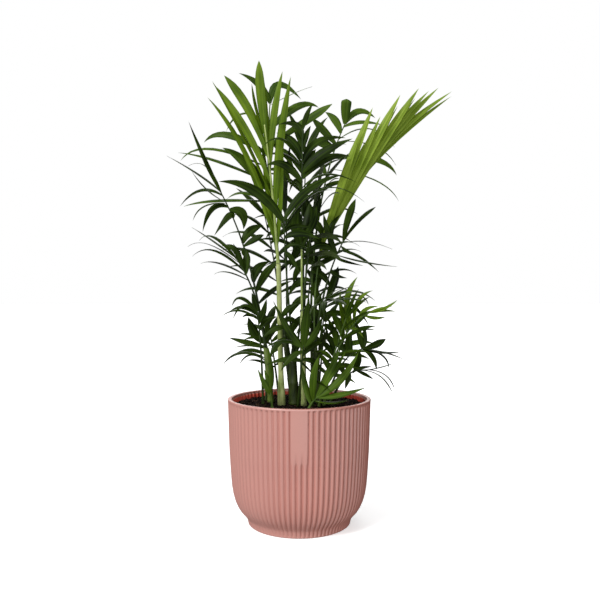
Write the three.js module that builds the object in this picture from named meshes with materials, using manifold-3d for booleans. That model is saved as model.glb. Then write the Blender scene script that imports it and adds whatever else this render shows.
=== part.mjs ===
// A parlour palm in its fluted pot.
//
// Millimetres, +Z up. The origin is the middle of the pot's flat underside and
// the pot's plain band faces -Y. The pot, its filling of potting mix, every
// stem and every frond are meshes of their own. A frond is one closed body: a
// three-sided midrib with its leaflets fused on, cut in to the rib between them.

import * as THREE from 'three';
import { mergeVertices } from 'three/addons/utils/BufferGeometryUtils.js';
import Module from 'manifold-3d';

const wasm = await Module();
wasm.setup();
const { Manifold, Mesh: SolidMesh } = wasm;

// ---------------------------------------------------------------- sizes

const CLEARANCE = 0.3; // air left between neighbouring solids
const WELD = 0.001; // vertices closer than this are one

const RIM_RADIUS = 70;
const POT_HEIGHT = 121;
const WALL = 4;
const FLOOR = 6; // thickness of the pot's floor
const FOOT_RADIUS = 50;
const FLUTES = 80;
const FLUTE_DEPTH = 1.3;
const BAND_HALF_FLUTES = 1.5; // the plain band takes the place of three flutes
const BAND_END = 72; // height at which the band gives way to flutes again
const FOOT_GROOVE = { inner: 34, outer: 40, depth: 2 }; // ring in the underside
const ROUND_SIDES = 48; // sides of the plain round forms inside the pot

const SOIL_LEVEL = 115.6; // flat middle, where the stems come out
const SOIL_EDGE = 114.4; // where it meets the wall
const SOIL_FLAT_RADIUS = 46;

// Outer wall from foot to rim: radius over the flute crowns, and height.
const POT_WALL = [
  [FOOT_RADIUS, 0],
  [51.8, 7],
  [57.6, 13.5],
  [63, 24],
  [66.5, 44],
  [68.5, BAND_END],
  [RIM_RADIUS - 0.2, POT_HEIGHT - 2],
];

// Hollow of the pot, from the middle of the floor up to the rim.
const POT_HOLLOW = [
  [0, FLOOR],
  [44, FLOOR],
  [53.5, 14.5],
  [59, 26],
  [62, 44],
  [63.6, 64],
  [RIM_RADIUS - WALL, SOIL_EDGE],
];

const STEM_SIDES = 8;
const STEM_FLARE = { share: 0.1, swell: 1.16 }; // swollen foot, as a share of the length

const RIB_SIDES = 3;
const RIB_STEPS = 6;
const RIB_FOOT_RADIUS = 1.25;
const RIB_TIP_RADIUS = 0.55;
const LAST_ROOT = 0.985; // share of the rib's length where its end leaflets start, so that they grip it

const LEAF_STEPS = 20; // steps in which a leaflet's bend is followed
const LEAF_THICKNESS = 1 / 85; // of its own length
const LEAF_MIN_THICKNESS = 0.8;
const GROWN_STATIONS = [0.15, 0.5]; // share of the length at each cross-section of a leaflet grown by rule
const DRAWN_STATIONS = [0.13, 0.45, 0.78]; // the same for a leaflet that is drawn

const TURNS = [0, 6, -6, 12, -12, 18, -18, 26, -26]; // degrees a leaflet is turned to come clear

// ---------------------------------------------------------------- stems

// Canes and sheathed leaf bases: foot and top of the axis, radius at each.
const STEMS = [
  { name: 'stem_pale_cane', foot: [-17, -14], top: [-20, -14, 252], radius: [2.7, 2.3], tone: 'cane',
    flare: { share: 0.22, swell: 1.5 } },
  { name: 'stem_sheathed_cane', foot: [-5.2, -8], top: [-6.1, -10, 157], radius: [5.4, 3.6], tone: 'sheath' },
  { name: 'stem_left_cane', foot: [-28, 4], top: [-32.8, 0, 170], radius: [3.2, 2.6], tone: 'stalk' },
  { name: 'stem_centre_cane', foot: [4.5, -18], top: [3.1, -18, 200], radius: [2.7, 2.3], tone: 'cane' },
  { name: 'stem_right_cane', foot: [14.7, 8], top: [13.7, 12, 192], radius: [3.4, 2.8], tone: 'sheath' },
  { name: 'stem_near_right_cane', foot: [19.2, -8], top: [15.3, -6, 173], radius: [2.9, 2.3], tone: 'sheath' },
  { name: 'stem_far_left_cane', foot: [-6.4, 25], top: [-14.7, 28, 181], radius: [3.6, 2.8], tone: 'sheath' },
  { name: 'stem_far_right_cane', foot: [3.8, 27], top: [3.8, 30, 181], radius: [3.6, 2.8], tone: 'sheath' },
];

// ---------------------------------------------------------------- fronds

// What a frond has unless its own entry says otherwise. Angles are in degrees.
const FROND = {
  pairs: 6, // pairs of leaflets
  bare: 0.4, // share of the rib below the lowest pair
  blade: 60, // length of a full leaflet
  width: 8, // width of a full leaflet
  right: [68, 22], // angle from the rib of the lowest and the last pair
  closing: 1.3, // how late the angle closes towards the tip
  taper: [0.75, 1, 0.8], // leaflet length along the rib: lowest, middle, last
  droop: 0.9, // how far the leaflets bend down
  twist: 0.4, // how far they turn flat
  lift: 14, // angle of the leaflets out of the frond's plane
  jitter: 5, // spread of the opening angle
  ruffle: 16, // spread of the lift
  endWidth: 1.25, // the last pair is wider
  face: [-90, 25], // azimuth and elevation that the frond's upper side looks to
  widest: 0.42, // share of a leaflet's length at which it is widest
  rootWidth: 0.3, // its width at the root, as a share of the full width
  point: 1.7, // how late it closes to its tip
  tone: 'dark',
};

const YOUNG = { width: 6.5, right: [70, 22], droop: 0.8, face: [-90, 60] };

// A frond stands on a cane, at an azimuth round its top, or comes out of the
// soil by itself. Its rib bends from there by way of the knee to the tip. A
// drawn leaflet is: share of the rib, middle, tip, width, roll in degrees, and
// where it is widest if not where its frond says.
// Fronds whose leaflets are drawn one by one.
const DRAWN_FRONDS = [
  { name: 'frond_tall_light', cane: 'stem_pale_cane', azimuth: -100, knee: [-25, -20, 322], tip: [-33, -24, 383],
    face: [-90, 5], tone: 'light', widest: 0.5, point: 2.6, rootWidth: 0.18, drawn: [
      [0.86, -36, -25, 406, -38, -27, 443, 8.7, 0, 0.68], [0.65, -25, -20, 387, -16, -18, 436, 7, 0],
      [0.29, -19, -23, 359, -8, -29, 427, 7.8, 0], [0.74, -47, -20, 396, -72, -18, 432, 8.7, 0, 0.66],
      [0.55, -50, -25, 377, -79, -30, 418, 6.9, 0], [0.45, -57, -14, 381, -85, -8, 430, 6.2, 50],
      [0.22, -52, -20, 358, -87, -24, 409, 6.2, 35], [0.7, -31, -20, 384, -34, -17, 430, 6.2, 45],
      [0.89, -40, -24, 395, -45, -25, 422, 6.2, 60], [0.1, -37, -12, 318, -58, -7, 370, 6.2, 15],
      [0.11, -19, -19, 298, -15, -23, 359, 6.2, 40], [0.16, -30, -14, 323, -36, -11, 372, 6.2, 35],
    ] },
  { name: 'frond_right_fan', cane: 'stem_near_right_cane', azimuth: 95, knee: [11, 4, 271], tip: [43, -4, 327],
    face: [-103, 12], tone: 'light', widest: 0.62, point: 2.4, rootWidth: 0.4, drawn: [
      [0.51, 37, -10, 318, 59, -14, 381, 7.3, 0], [0.53, 44, -8, 334, 71, -12, 403, 8.7, 0],
      [0.54, 41, -6, 318, 64, -9, 371, 6.2, 30], [0.55, 50, -5, 332, 79, -7, 396, 6.9, 0],
      [0.57, 60, -3, 346, 99, -4, 418, 8.9, 0], [0.57, 61, -1, 344, 97, -1, 408, 6.2, 35],
      [0.58, 70, 1, 354, 118, 1, 426, 8.9, 0], [0.58, 69, 2, 350, 115, 4, 417, 6.2, 30],
      [0.59, 70, 4, 355, 129, 6, 425, 7.5, 0], [0.61, 72, 6, 356, 139, 9, 429, 8.5, 0],
      [0.62, 73, 8, 358, 153, 11, 426, 7.1, 0], [0.64, 74, 10, 355, 153, 14, 422, 6.2, 10],
    ] },
  { name: 'frond_left_arch', cane: 'stem_left_cane', azimuth: 120, knee: [-45, -4, 264], tip: [-75, -20, 320],
    face: [-90, 20], drawn: [
      [1, -89, -25, 349, -104, -30, 385, 6.2, 40], [1, -97, -12, 338, -131, -2, 359, 6.2, 50],
      [0.92, -87, -23, 321, -101, -30, 338, 6.2, 60], [0.97, -95, -17, 322, -115, -14, 307, 6.2, 30],
      [0.91, -91, -20, 306, -101, -23, 292, 6.2, 50], [0.88, -84, -13, 305, -94, -8, 283, 6.2, 0],
      [0.8, -68, -17, 297, -81, -22, 278, 7.2, 0], [0.86, -55, -14, 300, -54, -12, 285, 10.1, 0],
      [0.98, -88, -23, 343, -105, -28, 343, 6.2, 60], [0.62, -48, -7, 284, -35, -4, 290, 9.2, 0, 0.55],
      [0.6, -43, -10, 276, -34, -12, 280, 6.8, 0, 0.55], [0.59, -54, -7, 267, -59, -6, 264, 2.9, 0],
      [0.52, -54, -8, 264, -52, -9, 267, 4.9, 0], [0.37, -41, -1, 248, -29, 4, 255, 9.3, 0],
      [0.31, -31, -8, 245, -18, -15, 254, 8.3, 0], [0.24, -24, 1, 228, -7, 5, 236, 6.2, 20],
    ] },
  { name: 'frond_left_comb', cane: 'stem_left_cane', azimuth: -80, knee: [-38, -24, 225], tip: [-59, -30, 256],
    face: [-100, 25], drawn: [
      [1, -79, -37, 271, -99, -44, 284, 6.2, 55], [0.97, -80, -27, 276, -95, -24, 273, 6.2, 45],
      [0.93, -85, -33, 269, -104, -37, 266, 6.2, 60], [0.89, -61, -27, 265, -74, -25, 268, 6.1, 0],
      [0.82, -79, -33, 263, -99, -40, 257, 6.2, 45], [0.76, -76, -21, 252, -95, -15, 252, 6.2, 50],
      [0.7, -67, -28, 243, -80, -31, 241, 5.5, 55], [0.78, -50, -24, 253, -50, -21, 265, 7.6, 0, 0.6],
      [0.84, -56, -30, 258, -62, -32, 270, 4.2, 25],
    ] },
  { name: 'frond_back_tall', cane: 'stem_pale_cane', azimuth: 80, knee: [-36, 16, 328], tip: [-29, 6, 414],
    face: [-85, 20], tone: 'mid', drawn: [
      [0.99, -40, 0, 429, -59, -7, 438, 8, 0], [0.99, -20, 9, 432, 2, 12, 418, 8.9, 0],
      [0.98, -6, 0, 420, 13, -7, 425, 6.2, 50], [0.83, -2, 15, 412, 20, 23, 413, 9, 0],
      [0.87, -55, 1, 401, -71, -8, 381, 6.2, 35], [0.69, -72, 14, 383, -97, 21, 377, 8.5, 0],
      [0.61, -86, -3, 365, -114, -17, 350, 6.2, 30], [0.52, -84, 14, 357, -124, 22, 367, 6.2, 30],
      [0.46, -53, -1, 352, -75, -8, 365, 11.9, 0], [0.4, -83, 9, 316, -117, 15, 311, 6.2, 30],
      [0.38, -52, -2, 322, -70, -10, 315, 6.2, 30], [0.78, -16, 11, 365, -5, 13, 348, 7, 0],
      [0.6, -15, 4, 344, -9, -1, 329, 6, 0], [0.47, -14, 8, 336, 3, 10, 325, 6, 50],
      [0.74, 4, -2, 391, 32, -14, 406, 8.8, 0, 0.72],
    ] },
  { name: 'frond_centre', cane: 'stem_centre_cane', azimuth: 120, knee: [2, -20, 284], tip: [3, -30, 378],
    face: [-95, 20], drawn: [
      [0.99, 7, -32, 390, 13, -35, 400, 5.1, 0], [0.89, 6, -27, 371, 11, -25, 382, 6, 0],
      [0.95, -3, -31, 381, -19, -33, 381, 7.3, 0], [0.85, -8, -23, 368, -22, -18, 377, 9.5, 0],
      [0.82, -16, -33, 367, -35, -40, 357, 6.2, 30], [0.79, -17, -22, 357, -40, -16, 354, 6.2, 30],
      [0.73, -14, -29, 344, -31, -35, 342, 8.5, 0], [0.83, 18, -21, 368, 45, -14, 373, 8.1, 0],
      [0.78, 22, -29, 355, 50, -32, 368, 10.6, 0], [0.75, 24, -21, 351, 49, -16, 355, 9.6, 0],
      [0.7, 25, -29, 335, 54, -35, 326, 6.2, 40], [0.76, 9, -23, 350, 16, -20, 361, 8, 0],
      [0.39, -3, -25, 287, 0, -30, 306, 11.4, 0, 0.6], [0.4, 9, -15, 290, 10, -9, 312, 12.4, 0, 0.6],
      [0.44, 13, -24, 289, 16, -27, 306, 7.4, 0], [0.67, -3, -21, 331, -10, -18, 319, 4.7, 0],
    ] },
  { name: 'frond_front_vee', cane: 'stem_sheathed_cane', azimuth: -60, knee: [-12, -32, 226], tip: [-14, -50, 289],
    face: [-90, 25], drawn: [
      [0.99, -40, -58, 315, -71, -69, 321, 10.9, 0], [1, 8, -45, 318, 41, -39, 333, 8.2, 0],
      [0.96, 20, -60, 316, 57, -75, 302, 6.2, 45], [0.94, 9, -40, 311, 32, -31, 320, 6.2, 45],
      [0.88, 1, -47, 278, 19, -50, 272, 7.8, 0], [0.92, -3, -44, 285, 12, -40, 283, 4.6, 0],
      [0.81, -3, -45, 268, 9, -47, 263, 4.1, 0], [0.78, -7, -40, 255, 1, -38, 240, 5.1, 0],
    ] },
  { name: 'frond_right_tall', cane: 'stem_right_cane', azimuth: 175, knee: [12, 18, 323], tip: [47, 10, 396],
    face: [-95, 20], tone: 'mid', drawn: [
      [0.98, 46, 7, 404, 47, 3, 416, 10.6, 0, 0.9], [0.98, 60, 14, 407, 77, 18, 401, 8, 0],
      [0.96, 61, 7, 394, 83, 3, 390, 6.2, 15], [0.88, 71, 17, 390, 98, 24, 372, 6.2, 45],
      [0.87, 76, 6, 372, 98, -2, 353, 6.2, 50], [0.77, 77, 20, 360, 100, 28, 345, 7.5, 0],
      [0.71, 76, 3, 337, 99, -10, 315, 6.2, 50], [0.92, 36, 14, 398, 26, 17, 407, 8, 0, 0.5],
      [0.85, 23, 7, 387, 12, 2, 397, 8.5, 0, 0.5], [0.81, 23, 14, 375, 9, 16, 375, 10, 0],
      [0.62, 37, 12, 335, 49, 10, 336, 4, 0], [0.61, 17, 16, 325, 8, 19, 319, 5, 0],
      [0.42, 17, 12, 303, 23, 10, 315, 8.1, 0], [0.67, 23, 16, 353, 20, 19, 368, 5.5, 0],
    ] },
  { name: 'frond_right_mid', cane: 'stem_near_right_cane', azimuth: -70, knee: [22, -12, 236], tip: [43, -20, 275],
    face: [-85, 25], drawn: [
      [0.98, 46, -25, 293, 53, -30, 312, 7.1, 0, 0.7], [0.97, 56, -17, 292, 74, -13, 307, 6.2, 35, 0.78],
      [0.95, 63, -25, 272, 88, -33, 264, 6.2, 55], [0.87, 57, -15, 259, 77, -11, 244, 6.2, 30],
      [0.82, 61, -24, 253, 92, -33, 248, 6.2, 45], [0.79, 45, -15, 254, 62, -13, 250, 4.6, 20],
      [0.83, 28, -20, 280, 23, -23, 299, 6.3, 0, 0.55], [0.78, 30, -13, 282, 40, -9, 300, 6.2, 10, 0.55],
      [0.83, 20, -20, 269, 2, -22, 257, 7.7, 0], [0.79, 22, -15, 253, 11, -12, 245, 5.8, 0],
      [0.67, 35, -16, 241, 46, -18, 238, 4.8, 0], [0.92, 47, -18, 263, 56, -17, 260, 3.8, 0],
    ] },
  { name: 'frond_right_young', ground: [23.7, -16], knee: [33, -20, 188], tip: [66, -26, 205],
    face: [-85, 25], tone: 'light', drawn: [
      [1, 80, -28, 209, 92, -30, 217, 4.7, 25], [1, 79, -25, 207, 92, -24, 206, 4.2, 25],
      [0.97, 76, -27, 209, 88, -29, 211, 4.1, 35], [0.93, 72, -24, 200, 82, -23, 201, 3.6, 0],
      [0.75, 45, -25, 216, 55, -27, 239, 6.2, 25, 0.62], [0.77, 56, -22, 216, 70, -21, 226, 6, 40, 0.62],
      [0.64, 40, -23, 207, 39, -24, 226, 6.1, 35], [0.7, 44, -21, 205, 36, -19, 214, 5.1, 0],
      [0.69, 54, -24, 189, 61, -25, 181, 4, 0], [0.85, 63, -23, 208, 76, -21, 211, 4.2, 0],
    ] },
  { name: 'frond_right_low', ground: [26.8, 12], knee: [41, 10, 165], tip: [64, 2, 169],
    face: [-95, 30], drawn: [
      [1, 75, 0, 173, 85, -3, 179, 7.9, 0, 0.6], [0.98, 64, 5, 179, 66, 8, 190, 7.4, 0],
      [0.96, 59, 0, 184, 54, -4, 197, 5.9, 0], [0.98, 81, 6, 165, 102, 11, 165, 6.1, 35],
      [0.96, 85, -2, 165, 102, -9, 159, 6.2, 50], [0.97, 73, 5, 160, 77, 9, 147, 5.4, 0],
      [0.92, 81, 0, 163, 88, -3, 149, 6, 50], [0.88, 58, 7, 154, 53, 11, 143, 6.9, 0],
      [0.74, 49, 4, 175, 53, 2, 188, 7.9, 0], [0.67, 41, 9, 172, 33, 12, 177, 7, 0],
    ] },
  { name: 'frond_right_droop', ground: [30.1, -2], knee: [44, -8, 148], tip: [56, -14, 149],
    face: [-85, 30], drawn: [
      [1, 76, -17, 145, 89, -21, 128, 6.2, 55, 0.75], [1, 80, -11, 146, 93, -8, 129, 6.2, 60, 0.75],
      [0.92, 72, -17, 151, 91, -21, 157, 6.2, 60, 0.7], [0.96, 64, -12, 145, 72, -9, 140, 3.9, 0],
      [0.73, 47, -12, 140, 44, -14, 131, 5.3, 0], [0.8, 60, -9, 151, 71, -6, 152, 3.9, 0],
      [0.59, 39, -11, 153, 32, -14, 159, 5.8, 0],
    ] },
  { name: 'frond_front_young', ground: [9.1, -32], knee: [11, -33, 121], tip: [17, -36, 127],
    face: [-90, 30], tone: 'mid', drawn: [
      [0.96, 38, -37, 129, 62, -38, 136, 6.2, 10], [0.7, 31, -33, 121, 47, -32, 124, 5.2, 40],
      [1, 39, -37, 144, 55, -38, 169, 7.6, 0], [0.92, 28, -35, 150, 38, -34, 171, 7.6, 0],
      [0.66, 13, -36, 146, 19, -38, 168, 7.1, 0], [0.36, 6, -31, 136, 1, -29, 160, 6.2, 15],
      [0.84, 32, -36, 150, 44, -37, 172, 6.2, 35],
    ] },
  { name: 'frond_left_shoot', ground: [-25.5, -28], knee: [-26, -30, 123], tip: [-27, -32, 130],
    face: [-90, 15], tone: 'mid', drawn: [
      [0.93, -32, -33, 138, -39, -34, 153, 5.6, 0], [0.92, -29, -31, 140, -33, -30, 152, 5.1, 0],
      [1, -26, -34, 150, -29, -36, 174, 6.2, 35],
    ] },
  { name: 'frond_left_low', ground: [-35.3, -8], knee: [-36, -14, 174], tip: [-40, -22, 206],
    face: [-95, 30], drawn: [
      [1, -42, -23, 214, -45, -25, 224, 6.2, 0], [1, -56, -19, 219, -65, -14, 210, 5.3, 25],
      [0.97, -53, -23, 212, -63, -26, 198, 5.4, 30], [0.94, -53, -19, 210, -67, -16, 206, 4.8, 0],
      [0.88, -57, -24, 207, -74, -29, 201, 6.2, 40], [0.9, -48, -19, 203, -55, -18, 200, 3.8, 0],
      [0.83, -34, -22, 206, -31, -25, 218, 6.2, 0], [0.75, -31, -16, 197, -21, -13, 201, 6.2, 0],
    ] },
  { name: 'frond_left_low_far', ground: [-33.5, 14], knee: [-32, 16, 156], tip: [-36, 14, 177],
    face: [-90, 30], drawn: [
      [0.93, -45, 13, 184, -51, 10, 200, 9.6, 0, 0.6], [0.84, -53, 17, 174, -72, 19, 179, 6.5, 0],
      [1, -44, 12, 180, -56, 9, 177, 4.5, 0], [0.8, -50, 18, 171, -68, 23, 168, 5.4, 40],
      [0.62, -59, 10, 164, -76, 4, 152, 6.2, 35], [0.7, -50, 18, 167, -66, 23, 162, 5.1, 30],
      [0.57, -49, 12, 162, -60, 8, 152, 5.2, 40], [0.88, -30, 17, 182, -21, 21, 188, 7.6, 0],
      [0.98, -32, 11, 192, -37, 8, 206, 6, 0],
    ] },
  { name: 'frond_front_mid', ground: [-1.2, -24], knee: [1, -38, 148], tip: [4, -46, 175],
    face: [-90, 25], drawn: [
      [0.98, 6, -49, 197, 9, -53, 219, 8.7, 0], [0.95, -13, -41, 179, -31, -37, 173, 5.9, 30],
      [0.9, -7, -47, 165, -17, -50, 152, 6, 0], [0.97, -9, -42, 188, -24, -39, 216, 7.1, 0],
      [0.98, 15, -48, 187, 21, -51, 203, 6.4, 0], [0.83, 13, -39, 175, 27, -35, 179, 6, 0],
      [0.73, -11, -45, 163, -30, -50, 158, 5.5, 0], [0.76, 13, -39, 160, 22, -35, 150, 5.5, 0],
    ] },
  { name: 'frond_front_left', cane: 'stem_sheathed_cane', azimuth: -170, knee: [-13, -30, 185], tip: [-16, -36, 201],
    face: [-90, 30], drawn: [
      [1, -10, -38, 209, -1, -40, 214, 6, 0], [0.86, -8, -31, 199, 1, -28, 193, 6.5, 0],
      [0.71, -23, -32, 190, -34, -34, 182, 6.6, 0], [0.57, -7, -26, 181, -2, -24, 170, 6.1, 0],
      [0.48, -22, -29, 174, -27, -32, 163, 6.1, 0],
    ] },
  { name: 'frond_top_mid', cane: 'stem_far_right_cane', azimuth: -90, knee: [7, 20, 245], tip: [9, 10, 296],
    face: [-85, 25], drawn: [
      [0.99, 6, 8, 310, 8, 6, 328, 9, 0], [0.98, 19, 14, 291, 25, 19, 275, 9, 0],
      [0.95, -5, 9, 293, -16, 6, 283, 9, 0], [0.89, -1, 15, 275, -6, 18, 258, 9, 0],
      [0.85, 21, 11, 275, 29, 8, 259, 9, 0], [0.77, -3, 17, 266, -10, 20, 249, 8.1, 0],
      [0.71, 17, 13, 256, 20, 10, 238, 8.1, 0], [0.62, -2, 21, 247, -6, 25, 233, 7.1, 0],
      [0.55, 16, 16, 236, 17, 12, 221, 7.1, 0], [0.99, 17, 12, 309, 20, 14, 326, 8, 0],
    ] },
  { name: 'frond_right_arc', ground: [16.5, 0], knee: [19, 4, 167], tip: [27, 8, 217],
    face: [-90, 30], drawn: [
      [1, 52, 5, 226, 75, 0, 216, 6.2, 35], [0.97, 57, 11, 222, 70, 16, 211, 6.2, 40],
      [0.92, 48, 3, 214, 69, -2, 191, 6.2, 15], [1, 34, 10, 233, 39, 12, 251, 8.5, 0, 0.6],
      [0.95, 16, 4, 225, 20, -1, 242, 7.5, 0], [0.85, 39, 10, 204, 54, 15, 196, 7, 0],
      [0.82, 10, 5, 209, 0, 2, 205, 7, 0], [0.75, 34, 8, 187, 42, 9, 173, 7, 0],
      [0.72, 7, 4, 192, -3, 1, 183, 7, 0], [0.65, 32, 9, 176, 34, 13, 161, 6.9, 0],
      [0.6, 9, 3, 174, 1, 1, 164, 6.9, 0],
    ] },
  { name: 'frond_mid_low', ground: [5, 5], knee: [4, 8, 187], tip: [13, 2, 255],
    face: [-90, 30], drawn: [
      [1, 19, 0, 243, 17, -3, 225, 7.9, 0], [0.98, 1, 5, 255, -10, 8, 246, 6.9, 0],
      [0.93, 23, 0, 241, 31, -4, 228, 7.9, 0], [0.87, -2, 5, 234, -11, 8, 220, 7.4, 0],
      [0.81, 18, 1, 221, 22, -2, 205, 7.9, 0], [0.75, -3, 7, 214, -10, 10, 199, 7.9, 0],
      [0.69, 16, 1, 200, 17, -3, 182, 7.9, 0], [0.61, -5, 9, 192, -11, 13, 174, 7.9, 0],
      [1, 10, -2, 266, 11, -6, 280, 6.4, 0], [0.51, 15, 10, 176, 19, 15, 159, 7.5, 0],
      [0.45, -4, 3, 169, -6, 0, 153, 7.5, 0],
    ] },
];

// Fronds whose leaflets grow by rule.
const GROWN_FRONDS = [
  { name: 'frond_front_right', cane: 'stem_centre_cane', azimuth: -50, knee: [18, -34, 217], tip: [30, -46, 217], ...YOUNG,
    bare: 0.35, pairs: 5, blade: 42, face: [-80, 60], seed: 61 },
  { name: 'frond_low_mid', ground: [13, -22], knee: [12, -34, 152], tip: [21, -50, 176], ...YOUNG,
    bare: 0.35, blade: 38, face: [-100, 60], seed: 62 },
  { name: 'frond_low_right', ground: [22.1, 22], knee: [37, 28, 155], tip: [50, 30, 186], ...YOUNG,
    bare: 0.3, blade: 38, face: [-60, 40], tone: 'mid', seed: 63 },
  { name: 'frond_back_left', cane: 'stem_far_left_cane', azimuth: 150, knee: [-23, 54, 249], tip: [-39, 84, 312],
    bare: 0.3, blade: 64, droop: 1.1, face: [-90, 60], seed: 67 },
  { name: 'frond_back_mid', cane: 'stem_far_right_cane', azimuth: 90, knee: [4, 52, 281], tip: [7, 76, 377],
    bare: 0.35, pairs: 7, blade: 66, droop: 1.1, face: [-90, 60], seed: 71 },
  { name: 'frond_back_right', cane: 'stem_right_cane', azimuth: 20, knee: [20, 42, 244], tip: [26, 80, 290],
    bare: 0.3, blade: 50, droop: 1.1, face: [-110, 60], seed: 73 },
  { name: 'frond_side_left', cane: 'stem_far_left_cane', azimuth: -30, knee: [-13, 24, 278], tip: [-14, 44, 343],
    blade: 62, right: [66, 25], face: [180, 25], seed: 83 },
  { name: 'frond_side_right', cane: 'stem_sheathed_cane', azimuth: 20, knee: [9, -4, 266], tip: [18, -6, 324],
    bare: 0.45, width: 7.5, right: [66, 25], face: [15, 25], seed: 89 },
  { name: 'frond_side_low', ground: [18.6, -23.5], knee: [30, -31, 160], tip: [43, -41, 200],
    pairs: 5, blade: 40, width: 5.5, right: [60, 22], face: [-50, 30], tone: 'mid', seed: 97 },
  { name: 'frond_back_low_left', ground: [-20.7, 22], knee: [-27, 46, 164], tip: [-34, 70, 190], ...YOUNG,
    bare: 0.35, pairs: 5, blade: 42, width: 7, face: [-80, 60], seed: 101 },
  { name: 'frond_back_low_right', ground: [19.4, 34], knee: [24, 52, 164], tip: [29, 74, 193], ...YOUNG,
    bare: 0.35, pairs: 5, blade: 42, width: 7, face: [-100, 60], seed: 103 },
];

// ---------------------------------------------------------------- finishes

const FINISH = {
  pot: { color: 0xc48e85, roughness: 0.6, metalness: 0 },
  soil: { color: 0x251b16, roughness: 0.95, metalness: 0 },
  cane: { color: 0x8f9c5e, roughness: 0.55, metalness: 0 },
  sheath: { color: 0x2f4716, roughness: 0.6, metalness: 0 },
  stalk: { color: 0x56702c, roughness: 0.55, metalness: 0 },
  light: { color: 0x5f8424, roughness: 0.5, metalness: 0 },
  mid: { color: 0x3f6320, roughness: 0.5, metalness: 0 },
  dark: { color: 0x263f14, roughness: 0.5, metalness: 0 },
};

// ---------------------------------------------------------------- small tools

const UP = new THREE.Vector3(0, 0, 1);
const radians = THREE.MathUtils.degToRad;
const lerp = THREE.MathUtils.lerp;
const vector = (values) => new THREE.Vector3(...values);

/** Seeded numbers from -1 to 1, the same on every run. */
function seededRandom(seed) {
  let state = (seed * 7919 + 13) >>> 0;
  return () => {
    state = (Math.imul(state, 1664525) + 1013904223) >>> 0;
    return (state / 4294967296) * 2 - 1;
  };
}

/** The part of `v` that is square to the unit vector `axis`, at unit length. */
function squareTo(v, axis) {
  return v.clone().addScaledVector(axis, -v.dot(axis)).normalize();
}

/** A solid from shared vertices and triangles, turned outwards if need be. */
function solidFrom(points, triangles) {
  let volume = 0;
  const cross = new THREE.Vector3();
  for (const [a, b, c] of triangles) volume += points[a].dot(cross.crossVectors(points[b], points[c]));
  const outward = volume > 0 ? triangles : triangles.map(([a, b, c]) => [a, c, b]);
  return new Manifold(new SolidMesh({
    numProp: 3,
    vertProperties: new Float32Array(points.flatMap((p) => [p.x, p.y, p.z])),
    triVerts: new Uint32Array(outward.flat()),
  }));
}

/** A solid through rings of equal count, closed flat or by a point at each end. */
function solidThroughRings(rings, root, tip) {
  const sides = rings[0].length;
  const points = rings.flat();
  const triangles = [];
  const last = points.length - sides;
  for (let a = 0; a < last; a += 1) {
    const b = (a + 1) % sides === 0 ? a + 1 - sides : a + 1;
    triangles.push([a, b, b + sides], [a, b + sides, a + sides]);
  }
  for (const [first, end] of [[0, root], [last, tip]]) {
    if (end) points.push(end);
    const hub = end ? points.length - 1 : first;
    for (let i = 0; i < sides; i += 1) {
      const a = first + i;
      const b = first + ((i + 1) % sides);
      if (a !== hub && b !== hub) triangles.push(first === 0 ? [b, a, hub] : [a, b, hub]);
    }
  }
  return solidFrom(points, triangles);
}

/** A three.js geometry as a solid, its shared vertices merged. */
function solidFromGeometry(geometry) {
  const bare = geometry.clone();
  bare.deleteAttribute('normal');
  bare.deleteAttribute('uv');
  const merged = mergeVertices(bare, WELD);
  const position = merged.getAttribute('position');
  const points = Array.from({ length: position.count }, (_, i) => new THREE.Vector3().fromBufferAttribute(position, i));
  const index = merged.index.array;
  const triangles = [];
  for (let i = 0; i < index.length; i += 3) {
    const [a, b, c] = index.subarray(i, i + 3);
    if (a !== b && b !== c && c !== a) triangles.push([a, b, c]);
  }
  return solidFrom(points, triangles);
}

/** A profile of [radius, height] turned about the Z axis; its first side looks to -Y. */
function turned(profile, sides) {
  const points = profile.map(([radius, height]) => new THREE.Vector2(radius, height));
  return new THREE.LatheGeometry(points, sides).rotateX(Math.PI / 2);
}

/** A solid's surface as a three.js geometry. */
function geometryOf(solid) {
  const data = solid.getMesh();
  const geometry = new THREE.BufferGeometry();
  geometry.setAttribute('position', new THREE.BufferAttribute(new Float32Array(data.vertProperties), 3));
  geometry.setIndex(new THREE.BufferAttribute(new Uint32Array(data.triVerts), 1));
  return geometry;
}

/** The largest body of a solid once vertices that all but touch are one. */
function mainBody(solid) {
  const bodies = solidFromGeometry(geometryOf(solid)).decompose();
  return bodies.reduce((largest, body) => (body.volume() > largest.volume() ? body : largest));
}

/** A solid as a named mesh. */
function meshOf(name, solid, finish) {
  const geometry = geometryOf(solid);
  geometry.computeVertexNormals();
  const mesh = new THREE.Mesh(geometry, new THREE.MeshStandardMaterial(FINISH[finish]));
  mesh.name = name;
  return mesh;
}

// ---------------------------------------------------------------- pot and soil

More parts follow.
